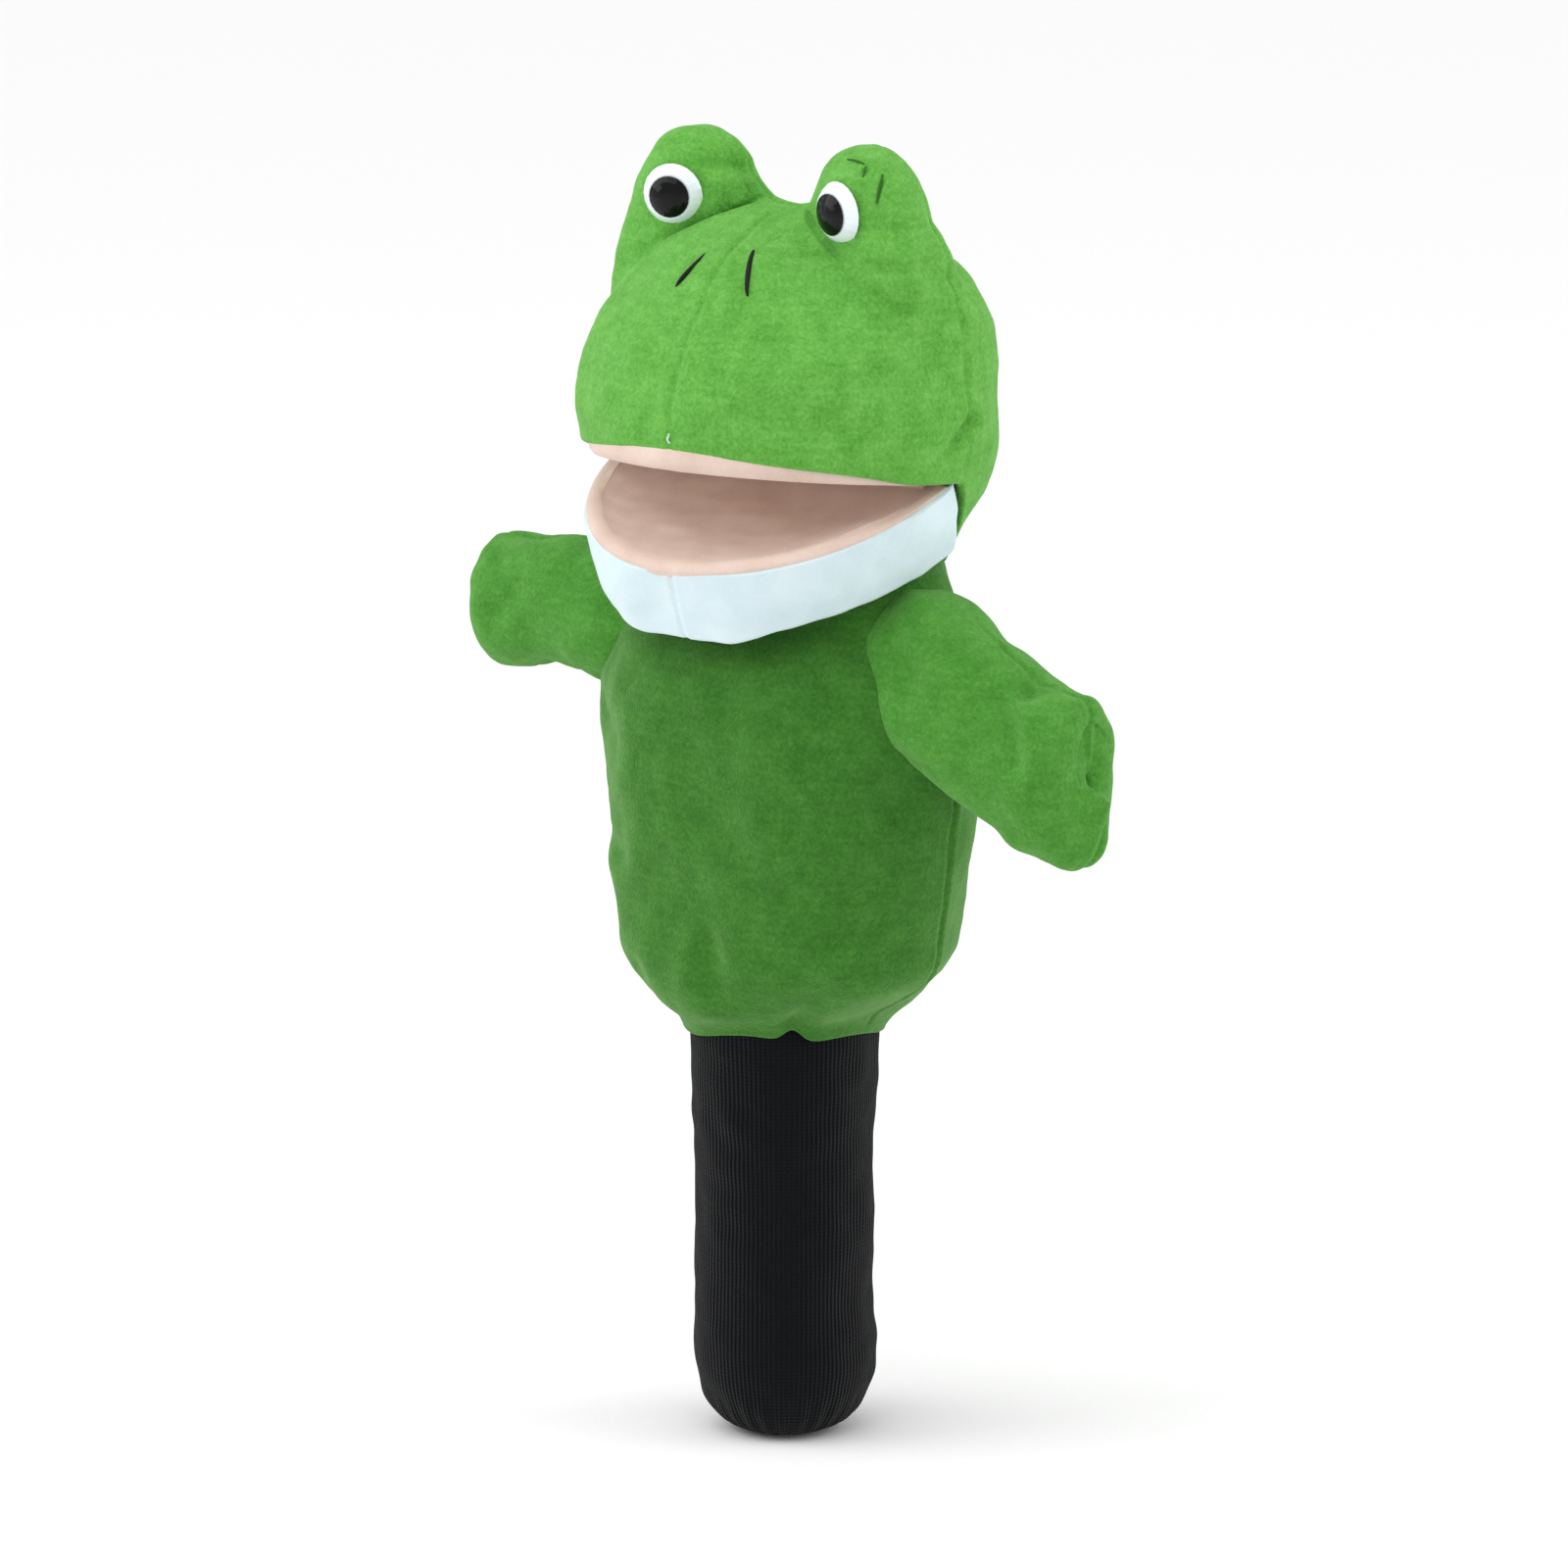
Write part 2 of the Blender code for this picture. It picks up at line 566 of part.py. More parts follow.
def build_upper_mouth(cloth, board, lining, filling, parent):
    """Palate cloth and board, the finger pocket above them, and the muzzle's filling."""
    add_piece("palate_cloth", mouth_plate(PALATE_HALF_WIDTH, PALATE_DEPTH, 0.0, CLOTH_THICK, PALATE_PITCH),
              cloth, parent)
    low = CLOTH_THICK + SEAM_GAP
    top = low + BOARD_THICK
    add_piece("palate_board", mouth_plate(BOARD_HALF_WIDTH, PALATE_BOARD_DEPTH, low, top, PALATE_PITCH),
              board, parent)
    floor = top + SEAM_GAP
    add_piece("finger_pocket",
              dome_pocket(FINGER_POCKET_RADII, (MOUTH_BACK, floor), LINING_THICK, PALATE_PITCH, 1.0),
              lining, parent)

    inset = HEAD_PLUSH + FILLING_GAP

    def muzzle_core(u, v):
        return muzzle_point(2 * math.pi * u, v, inset, lift=BOARD_THICK + 2 * SEAM_GAP)

    core = add_piece("muzzle_filling", stack(muzzle_core, 24, 9), filling, parent)
    behind = add_piece("filling_back_cutter", box((-80, MOUTH_BACK, 240), (80, 80, 400)), None, parent)
    hand = ellipsoid((0, MOUTH_BACK, floor), [r + 2 * SEAM_GAP for r in FINGER_POCKET_RADII], 20, 12)
    hand.transform(pitched(PALATE_PITCH))
    space = add_piece("filling_pocket_cutter", hand, None, parent)
    bumps = []
    for side, label in ((1, "left"), (-1, "right")):
        centre = (side * BUMP_CENTRE[0], BUMP_CENTRE[1], BUMP_CENTRE[2])
        radii = [r + SEAM_GAP + FILLING_HOLE_GAP for r in BUMP_RADII]
        bumps.append(add_piece("filling_bump_cutter_" + label, ellipsoid(centre, radii, 16, 10), None, parent))
    cut(core, behind, space, *bumps)


def box(low, high):
    """Box between two corners."""
    bm = bmesh.new()
    bmesh.ops.create_cube(bm, size=1.0)
    size = [h - l for l, h in zip(low, high)]
    middle = [(h + l) / 2 for l, h in zip(low, high)]
    bmesh.ops.scale(bm, vec=size, verts=bm.verts)
    bmesh.ops.translate(bm, vec=middle, verts=bm.verts)
    return bm


def chin_point(angle, v, inset):
    """Point on the chin band in its pitched frame: v runs from the rim to the lower edge."""
    span = v * (len(CHIN_PROFILE) - 1)
    k = min(int(span), len(CHIN_PROFILE) - 2)
    (scale_a, height_a), (scale_b, height_b) = CHIN_PROFILE[k], CHIN_PROFILE[k + 1]
    part = span - k
    scale = scale_a + (scale_b - scale_a) * part
    height = height_a + (height_b - height_a) * part
    x = (JAW_HALF_WIDTH * scale - inset) * math.cos(angle)
    y = (JAW_DEPTH * scale - inset) * math.sin(angle)
    return pitched(TONGUE_PITCH) @ Vector((x, y, height))


def build_jaw(band, cloth, board, lining, parent):
    """Chin band in two halves, tongue cloth and board, and the thumb pocket below them."""
    seam = SEAM_GAP / 2 / JAW_DEPTH
    for label, start in (("right", math.pi), ("left", 1.5 * math.pi)):
        def half(inset, start=start):
            return lambda u, v: chin_point(start + seam + (math.pi / 2 - 2 * seam) * u, v, inset)
        add_piece("chin_band_%s" % label, shell(half(0.0), half(CHIN_PLUSH), 10, 3), band, parent)
    inner = CHIN_PLUSH + SEAM_GAP + TONGUE_CLEARANCE
    add_piece("tongue_cloth", mouth_plate(JAW_HALF_WIDTH - inner, JAW_DEPTH - inner, -CLOTH_THICK, 0.0,
                                          TONGUE_PITCH), cloth, parent)
    top = -CLOTH_THICK - SEAM_GAP
    floor = top - BOARD_THICK
    add_piece("tongue_board", mouth_plate(BOARD_HALF_WIDTH, TONGUE_BOARD_DEPTH, floor, top, TONGUE_PITCH),
              board, parent)
    add_piece("thumb_pocket",
              dome_pocket(THUMB_POCKET_RADII, (THUMB_POCKET_BACK, floor - SEAM_GAP), LINING_THICK,
                          TONGUE_PITCH, -1.0), lining, parent)


def build_hinge(cloth, plush, parent):
    """Folded cloth along the mouth's hinge line, and a round gusset at each corner."""
    along_x = Matrix.Translation(HINGE_POINT) @ Matrix.Rotation(math.pi / 2, 4, "Y")
    length = FOLD_HALF_LENGTH
    rod = ((0, -length), (FOLD_RADIUS, -length), (FOLD_RADIUS, length), (0, length))
    add_piece("mouth_fold", turned(rod, along_x, 16), cloth, parent)
    near = FOLD_HALF_LENGTH + GUSSET_GAP
    far = near + GUSSET_THICK
    on_side = Matrix.Translation(HINGE_POINT) @ Matrix(((0, 0, 1), (0, -1, 0), (1, 0, 0))).to_4x4()
    for side, label in ((1, "left"), (-1, "right")):
        low, high = sorted((side * near, side * far))
        fan = slab(GUSSET_RADIUS, GUSSET_RADIUS, -SEAM_GAP, low, high, steps=12)
        fan.transform(on_side)
        add_piece("cheek_gusset_" + label, fan, plush, parent)


# ---- arms ---------------------------------------------------------------------------------------

def build_arm(label, side, direction, length, plush, filling, parent):
    """Front and back mitt panels sewn round their edge, and the filling inside."""
    frame = (Matrix.Translation((side * SHOULDER[0], SHOULDER[1], SHOULDER[2]))
             @ Vector(direction).to_track_quat("X", "Z").to_matrix().to_4x4())

    def surface(start, end, inset):
        def at(u, v):
            share = ARM_SECTIONS[0][0] + (1 - ARM_SECTIONS[0][0]) * v
            tall, deep = between(ARM_SECTIONS, share)
            turn = start + (end - start) * u
            reach = share * length - (inset if v > 0.5 else -inset) * abs(2 * v - 1)
            return frame @ Vector((reach, max(deep - inset, 0.5) * math.sin(turn),
                                   max(tall - inset, 0.5) * math.cos(turn)))
        return at

    seam = SEAM_GAP / 2 / ARM_SECTIONS[0][1]
    for name, start in (("back", 0.0), ("front", math.pi)):
        outer = surface(start + seam, start + math.pi - seam, 0.0)
        inner = surface(start + seam, start + math.pi - seam, ARM_PLUSH)
        facing = name if side > 0 else {"front": "back", "back": "front"}[name]
        add_piece("arm_%s_%s_panel" % (label, facing), shell(outer, inner, 8, 9), plush, parent)
    core = surface(0.0, 2 * math.pi, ARM_PLUSH + FILLING_GAP)
    add_piece("arm_%s_filling" % label, stack(core, 14, 8), filling, parent)


def main():
    for item in list(bpy.data.objects):
        bpy.data.objects.remove(item, do_unlink=True)

    plush_head = material("plush_light_green", (0.15, 0.38, 0.075), 0.9)
    plush_body = material("plush_green", (0.06, 0.19, 0.03), 0.9)
    band = material("plush_white", (0.55, 0.68, 0.74), 0.9)
    cloth = material("mouth_cloth", (0.64, 0.53, 0.47), 0.85)
    knit = material("rib_knit_black", (0.006, 0.007, 0.010), 0.9)
    lining = material("lining_black", (0.02, 0.02, 0.022), 0.8)
    filling = material("polyester_filling", (0.8, 0.8, 0.78), 1.0)
    board = material("stiffener_board", (0.45, 0.38, 0.28), 0.8)
    rubber = material("elastic_black", (0.012, 0.012, 0.012), 0.7)
    eye_white = material("eye_white_plastic", (0.65, 0.8, 0.9), 0.12)
    eye_black = material("eye_black_plastic", (0.006, 0.008, 0.009), 0.1)
    washer = material("washer_plastic", (0.7, 0.7, 0.68), 0.4)
    thread = material("thread_black", (0.01, 0.01, 0.01), 0.6)

    torso = axis_empty("wrist_axis", WRIST_PIVOT)
    head = axis_empty("nod_axis", NOD_PIVOT, torso)
    jaw = axis_empty("jaw_axis", HINGE_POINT, head)
    shoulder_left = axis_empty("shoulder_axis_left", SHOULDER, torso)
    shoulder_right = axis_empty("shoulder_axis_right", (-SHOULDER[0], SHOULDER[1], SHOULDER[2]), torso)

    build_sleeve(knit, rubber)
    build_body(plush_body, lining, torso)
    build_head_covers(plush_head, head)
    build_eyes(eye_white, eye_black, washer, plush_head, filling, head)
    build_nostrils(thread, head)
    build_upper_mouth(cloth, board, lining, filling, head)
    build_hinge(cloth, plush_head, head)
    build_jaw(band, cloth, board, lining, jaw)
    build_arm("left", 1, ARM_LEFT, ARM_LEFT_LENGTH, plush_head, filling, shoulder_left)
    build_arm("right", -1, ARM_RIGHT, ARM_RIGHT_LENGTH, plush_head, filling, shoulder_right)


main()
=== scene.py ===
"""Frog hand puppet: the sewn plush, fleece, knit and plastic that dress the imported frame.

Lengths are in millimetres until a mesh is made, +Z is up, the frog faces -Y and its own left is +X.
Each sub-assembly is a class whose fields are its sizes and whose methods build and dress its pieces.
"""
from __future__ import annotations

import json
import logging
import math
from dataclasses import dataclass
from enum import Enum
from typing import Callable, Sequence

import bpy
import numpy as np
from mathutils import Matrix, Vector

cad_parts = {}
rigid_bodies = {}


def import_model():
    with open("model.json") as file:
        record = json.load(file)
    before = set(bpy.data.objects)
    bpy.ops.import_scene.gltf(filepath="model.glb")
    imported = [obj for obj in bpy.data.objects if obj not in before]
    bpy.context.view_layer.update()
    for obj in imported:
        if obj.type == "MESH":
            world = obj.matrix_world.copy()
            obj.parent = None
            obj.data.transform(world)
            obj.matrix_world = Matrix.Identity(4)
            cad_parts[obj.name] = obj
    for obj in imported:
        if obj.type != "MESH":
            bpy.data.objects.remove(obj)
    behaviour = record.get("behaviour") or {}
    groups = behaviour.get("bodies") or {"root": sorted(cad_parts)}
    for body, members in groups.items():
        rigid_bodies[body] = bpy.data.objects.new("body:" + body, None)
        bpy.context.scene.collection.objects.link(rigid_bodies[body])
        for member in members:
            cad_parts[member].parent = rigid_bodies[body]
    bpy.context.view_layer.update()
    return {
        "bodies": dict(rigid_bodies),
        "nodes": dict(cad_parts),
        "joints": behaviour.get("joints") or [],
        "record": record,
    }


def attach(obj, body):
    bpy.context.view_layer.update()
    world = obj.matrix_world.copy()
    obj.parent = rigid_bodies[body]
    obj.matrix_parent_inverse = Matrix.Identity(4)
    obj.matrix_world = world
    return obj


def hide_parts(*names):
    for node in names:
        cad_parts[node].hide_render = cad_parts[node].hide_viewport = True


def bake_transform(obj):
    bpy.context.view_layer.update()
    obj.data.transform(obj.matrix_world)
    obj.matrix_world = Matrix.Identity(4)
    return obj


LOG = logging.getLogger("puppet")
MM = 0.001
Array = np.ndarray


class Side(Enum):
    """The frog's own left and right, as the sign of X."""

    LEFT = 1
    RIGHT = -1

    @property
    def label(self) -> str:
        """Word that ends a node's name."""
        return self.name.lower()


# ---- shape helpers --------------------------------------------------------------------------------

def smooth_step(low: float, high: float, value: Array) -> Array:
    """Ramp from 0 at low to 1 at high, flat at both ends."""
    t = np.clip((value - low) / (high - low), 0.0, 1.0)
    return t * t * (3.0 - 2.0 * t)


def smooth_min(a: Array, b: Array, width: Array | float) -> Array:
    """Lesser of two distances, rounded where they are within width of each other."""
    h = np.clip(0.5 + 0.5 * (b - a) / width, 0.0, 1.0)
    return b + (a - b) * h - width * h * (1.0 - h)


def stacked(x: Array | float, y: Array | float, z: Array | float) -> Array:
    """Points from three coordinates that broadcast against each other."""
    return np.stack(np.broadcast_arrays(x, y, z), axis=-1)


def unit(vectors: Array) -> Array:
    """Vectors of length one along the last axis."""
    return vectors / np.linalg.norm(vectors, axis=-1, keepdims=True)


def squarish(wave: Array, power: float) -> Array:
    """Sine or cosine drawn out a little towards a square's corners."""
    return np.sign(wave) * np.abs(wave) ** power


def curve_through(stations: Sequence[float], values: Sequence[float], at: Array) -> Array:
    """Smooth curve through a few stations, without overshoot.

    Args:
        stations: Rising positions along the curve.
        values: The curve's value at each station.
        at: Where to read the curve.

    Returns:
        The curve's values.
    """
    x, y = np.asarray(stations, float), np.asarray(values, float)
    chords = np.diff(y) / np.diff(x)
    slopes = np.zeros_like(y)
    slopes[0], slopes[-1] = chords[0], chords[-1]
    same = chords[:-1] * chords[1:] > 0
    mean = 2.0 * chords[:-1] * chords[1:] / np.where(same, chords[:-1] + chords[1:], 1.0)
    slopes[1:-1] = np.where(same, mean, 0.0)
    at = np.clip(at, x[0], x[-1])
    k = np.clip(np.searchsorted(x, at) - 1, 0, len(x) - 2)
    span = x[k + 1] - x[k]
    t = (at - x[k]) / span
    return ((2 * t ** 3 - 3 * t ** 2 + 1) * y[k] + (t ** 3 - 2 * t ** 2 + t) * span * slopes[k]
            + (3 * t ** 2 - 2 * t ** 3) * y[k + 1] + (t ** 3 - t ** 2) * span * slopes[k + 1])


def softness(points: Array, wavelength: float, seed: int, waves: int = 28) -> Array:
    """Even, seamless unevenness of stuffed cloth: waves of one length in many directions.

    Args:
        points: Points in millimetres, last axis of three.
        wavelength: Length of the waves in millimetres.
        seed: Seed of the waves' directions.
        waves: How many waves are added up.

    Returns:
        Values about 0 with a spread of about 1.
    """
    rng = np.random.default_rng(seed)
    directions = unit(rng.normal(size=(waves, 3)))
    lengths = wavelength * rng.uniform(0.75, 1.35, waves)
    phases = rng.uniform(0.0, 2.0 * math.pi, waves)
    total = np.zeros(points.shape[:-1])
    for direction, length, phase in zip(directions, lengths, phases):
        total += np.cos(points @ direction * (2.0 * math.pi / length) + phase)
    return total / math.sqrt(waves / 2.0)


def distance_to_path(points: Array, path: Sequence[Sequence[float]]) -> Array:
    """Distance of each point to a chain of straight runs."""
    best = np.full(points.shape[:-1], 1e9)
    corners = [np.asarray(p, float) for p in path]
    for a, b in zip(corners, corners[1:]):
        run = b - a
        t = np.clip(((points - a) @ run) / (run @ run), 0.0, 1.0)
        best = np.minimum(best, np.linalg.norm(points - a - t[..., None] * run, axis=-1))
    return best


@dataclass(frozen=True)
class Fold:
    """A crease or a dent along a path in the cloth, with the cloth puffed up beside it."""

    path: tuple[tuple[float, float, float], ...]
    width: float
    depth: float
    puff: float = 0.3

    def lift(self, points: Array) -> Array:
        """How far the cloth stands out at each point."""
        d = distance_to_path(points, self.path)
        return self.depth * (self.puff * np.exp(-((d - 2.2 * self.width) / (1.3 * self.width)) ** 2)
                             - np.exp(-(d / self.width) ** 2))


def seam_lift(distance: Array, depth: float = 0.9, width: float = 0.85) -> Array:
    """Narrow sewn groove with the pile rising softly on both sides of it."""
    return 0.35 * depth * np.exp(-((distance - 2.6 * width) / (1.7 * width)) ** 2) \
        - depth * np.exp(-(distance / width) ** 2)


def grid_normals(points: Array, wrap: bool) -> Array:
    """Unit normals of a grid of points, along rows crossed with columns."""
    down = np.gradient(points, axis=0)
    if wrap:
        across = (np.roll(points, -1, axis=1) - np.roll(points, 1, axis=1)) / 2.0
    else:
        across = np.gradient(points, axis=1)
    normals = np.cross(across, down)
    return normals / np.maximum(np.linalg.norm(normals, axis=-1), 1e-9)[..., None]


class Maker:
    """Turns grids of points into finished pieces that ride on the frame's bodies."""

    @staticmethod
    def grid(name: str, points: Array, wrap: bool = False, flip: bool = False, pole: bool = False,
             end_pole: bool = False) -> bpy.types.Object:
        """Object from a grid of points.

        Args:
            name: Piece name.
            points: Rows by columns by three, in millimetres.
            wrap: Whether the last column joins the first.
            flip: Whether the faces turn the other way round.
            pole: Whether the first row is drawn together to one point.
            end_pole: Whether the last row is drawn together to one point.

        Returns:
            The new object, shaded smooth.
        """
        rows, columns = points.shape[:2]
        index = np.arange(rows * columns).reshape(rows, columns)
        after = np.roll(index, -1, axis=1) if wrap else index[:, 1:]
        here = index if wrap else index[:, :-1]
        quads = np.stack((here[:-1], after[:-1], after[1:], here[1:]), axis=-1).reshape(-1, 4)
        if flip:
            quads = quads[:, ::-1]
        coords = points.reshape(-1, 3).copy()
        faces = quads.tolist()
        for row, wanted in ((0, pole), (rows - 1, end_pole)):
            if wanted:
                coords[index[row]] = coords[index[row]].mean(axis=0)
        mesh = bpy.data.meshes.new(name)
        mesh.from_pydata((coords * MM).tolist(), [], faces)
        mesh.validate()
        piece = bpy.data.objects.new(name, mesh)
        bpy.context.collection.objects.link(piece)
        if pole or end_pole:
            weld = piece.modifiers.new("close_poles", "WELD")
            weld.merge_threshold = 1e-6
            Maker.apply(piece)
        piece.data.shade_smooth()
        return piece

    @staticmethod
    def tube(name: str, path: Array, radii: Array, sides: int = 10) -> bpy.types.Object:
        """Round thread or rod along a path, with closed round ends."""
        tangents = unit(np.gradient(path, axis=0))
        off_axis = np.array([0.31, 0.11, 0.94])     # along no thread of the puppet
        first = unit(np.cross(tangents, off_axis))
        second = np.cross(tangents, first)
        turn = np.linspace(0.0, 2.0 * math.pi, sides, endpoint=False)
        across = (np.cos(turn)[None, :, None] * first[:, None, :]
                  + np.sin(turn)[None, :, None] * second[:, None, :])
        rings = path[:, None, :] + radii[:, None, None] * across
        return Maker.grid(name, rings, wrap=True, pole=True, end_pole=True)

    @staticmethod
    def apply(piece: bpy.types.Object) -> None:
        """Apply every modifier of a piece."""
        graph = bpy.context.evaluated_depsgraph_get()
        mesh = bpy.data.meshes.new_from_object(piece.evaluated_get(graph))
        piece.modifiers.clear()
        old = piece.data
        piece.data = mesh
        bpy.data.meshes.remove(old)

    @staticmethod
    def dress(piece: bpy.types.Object, finish: bpy.types.Material, slot: str) -> None:
        """Give a piece its finish."""
        piece.data.materials.clear()
        piece.data.materials.append(finish)


# ---- finishes -------------------------------------------------------------------------------------

def linear(hex_colour: str) -> tuple[float, float, float, float]:
    """Linear colour of an sRGB hex value."""
    parts = [int(hex_colour[i:i + 2], 16) / 255.0 for i in (1, 3, 5)]
    low = [p / 12.92 if p <= 0.04045 else ((p + 0.055) / 1.055) ** 2.4 for p in parts]
    return (*low, 1.0)


def add_node(tree: bpy.types.NodeTree, kind: str, inputs: dict | None = None, **settings) -> bpy.types.Node:
    """Add a node with its settings, its inputs' values and its links.

    Args:
        tree: Node tree to add to.
        kind: Blender's name of the node type.
        inputs: Input name or number to a value, or to an output socket that is linked to it.
        settings: The node's own properties.

    Returns:
        The new node.
    """
    node = tree.nodes.new(kind)
    for key, value in settings.items():
        setattr(node, key, value)
    for key, value in (inputs or {}).items():
        if isinstance(value, bpy.types.NodeSocket):
            tree.links.new(value, node.inputs[key])
        else:
            node.inputs[key].default_value = value
    return node


def new_material(name: str, colour: str) -> tuple[bpy.types.Material, bpy.types.NodeTree, bpy.types.Node]:
    """Material with its node tree and its Principled shader."""
    made = bpy.data.materials.new(name)
    made.use_nodes = True
    made.diffuse_color = linear(colour)
    return made, made.node_tree, made.node_tree.nodes["Principled BSDF"]


def colour_ramp(tree: bpy.types.NodeTree, factor: bpy.types.NodeSocket,
                stops: Sequence[tuple[float, str]]) -> bpy.types.NodeSocket:
    """Colours along a factor, given as (position, sRGB hex) stops."""
    ramp = add_node(tree, "ShaderNodeValToRGB", {"Fac": factor})
    while len(ramp.color_ramp.elements) < len(stops):
        ramp.color_ramp.elements.new(0.5)
    for element, (position, colour) in zip(ramp.color_ramp.elements, stops):
        element.position = position
        element.color = linear(colour)
    return ramp.outputs["Color"]


def per_metre(millimetres: float) -> float:
    """Texture scale that gives a feature of this many millimetres."""
    return 1.0 / (millimetres * MM)


def surface(tree: bpy.types.NodeTree, shader: bpy.types.Node, colour: bpy.types.NodeSocket,
            relief: tuple[bpy.types.NodeSocket, float, float], looks: dict[str, object]) -> None:
    """Link a colour and a relief to a shader and set its other inputs.

    Args:
        tree: The material's node tree.
        shader: Its Principled shader.
        colour: Output that gives the colour.
        relief: Output that gives the height, how strongly it shows, and its depth in millimetres.
        looks: The shader's input names with their values.
    """
    height, strength, depth = relief
    bump = add_node(tree, "ShaderNodeBump", {"Height": height, "Strength": strength, "Distance": depth * MM})
    tree.links.new(colour, shader.inputs["Base Color"])
    tree.links.new(bump.outputs["Normal"], shader.inputs["Normal"])
    for name, value in looks.items():
        shader.inputs[name].default_value = value


@dataclass(frozen=True)
class ShortPilePlush:
    """Polyester crystal-velvet plush, warp-knitted and cropped to about 1.5 mm.

    The pile leans one way and then another, so the cloth shows soft light and dark patches, faint rows
    of the knit below, and a pale bloom where it turns away from the eye.
    """

    name: str
    deep: str
    middle: str
    bright: str
    bloom: str
    patch: float = 7.0       # brushed patches, mm
    tuft: float = 1.1        # tufts, drawn coarser than the real 0.4 mm so that they show
    row: float = 1.5         # knit rows, mm
    sheen: float = 0.35

    def make(self) -> bpy.types.Material:
        """Build the material."""
        made, tree, shader = new_material(self.name, self.middle)
        place = add_node(tree, "ShaderNodeTexCoord").outputs["Object"]
        patch = add_node(tree, "ShaderNodeTexNoise", {
            "Vector": place, "Scale": per_metre(self.patch), "Detail": 3.0, "Roughness": 0.6})
        tuft = add_node(tree, "ShaderNodeTexNoise", {
            "Vector": place, "Scale": per_metre(self.tuft), "Detail": 2.0, "Roughness": 0.65})
        fibre = add_node(tree, "ShaderNodeTexNoise", {
            "Vector": place, "Scale": per_metre(0.45), "Detail": 1.0, "Roughness": 0.5})
        rows = add_node(tree, "ShaderNodeTexWave", {
            "Vector": place, "Scale": per_metre(self.row) / 20.0 * math.pi, "Distortion": 3.5,
            "Detail": 2.0, "Detail Scale": 3.0}, bands_direction="Z")
        tone = add_node(tree, "ShaderNodeMath", {0: patch.outputs["Fac"], 1: 0.42}, operation="MULTIPLY")
        tone = add_node(tree, "ShaderNodeMath", {0: tuft.outputs["Fac"], 1: 0.52, 2: tone.outputs[0]},
                        operation="MULTIPLY_ADD")
        tone = add_node(tree, "ShaderNodeMath", {0: rows.outputs["Fac"], 1: 0.035, 2: tone.outputs[0]},
                        operation="MULTIPLY_ADD")
        colour = colour_ramp(tree, tone.outputs[0],
                             ((0.30, self.deep), (0.48, self.middle), (0.66, self.bright)))
        pile = add_node(tree, "ShaderNodeMath", {0: tuft.outputs["Fac"], 1: 0.6, 2: fibre.outputs["Fac"]},
                        operation="MULTIPLY_ADD")
        pile = add_node(tree, "ShaderNodeMath", {0: rows.outputs["Fac"], 1: 0.06, 2: pile.outputs[0]},
                        operation="MULTIPLY_ADD")
        surface(tree, shader, colour, (pile.outputs[0], 0.55, 0.7), {
            "Roughness": 0.92, "Specular IOR Level": 0.12, "Sheen Weight": self.sheen,
            "Sheen Roughness": 0.45, "Sheen Tint": linear(self.bloom)})
        return made


@dataclass(frozen=True)
class BrushedTricot:
    """Close-sheared fleece or brushed tricot: an almost smooth matt cloth with a faint fuzz."""

    name: str
    deep: str
    bright: str
    fuzz: float = 0.8
    sheen: float = 0.2

    def make(self) -> bpy.types.Material:
        """Build the material."""
        made, tree, shader = new_material(self.name, self.bright)
        place = add_node(tree, "ShaderNodeTexCoord").outputs["Object"]
        patch = add_node(tree, "ShaderNodeTexNoise", {
            "Vector": place, "Scale": per_metre(14.0), "Detail": 3.0, "Roughness": 0.55})
        fuzz = add_node(tree, "ShaderNodeTexNoise", {
            "Vector": place, "Scale": per_metre(self.fuzz), "Detail": 2.0, "Roughness": 0.6})
        tone = add_node(tree, "ShaderNodeMath", {0: fuzz.outputs["Fac"], 1: 0.35, 2: patch.outputs["Fac"]},
                        operation="MULTIPLY_ADD")
        colour = colour_ramp(tree, tone.outputs[0], ((0.35, self.deep), (0.85, self.bright)))
        surface(tree, shader, colour, (fuzz.outputs["Fac"], 0.25, 0.3), {
            "Roughness": 0.9, "Specular IOR Level": 0.15, "Sheen Weight": self.sheen, "Sheen Roughness": 0.4})
        return made


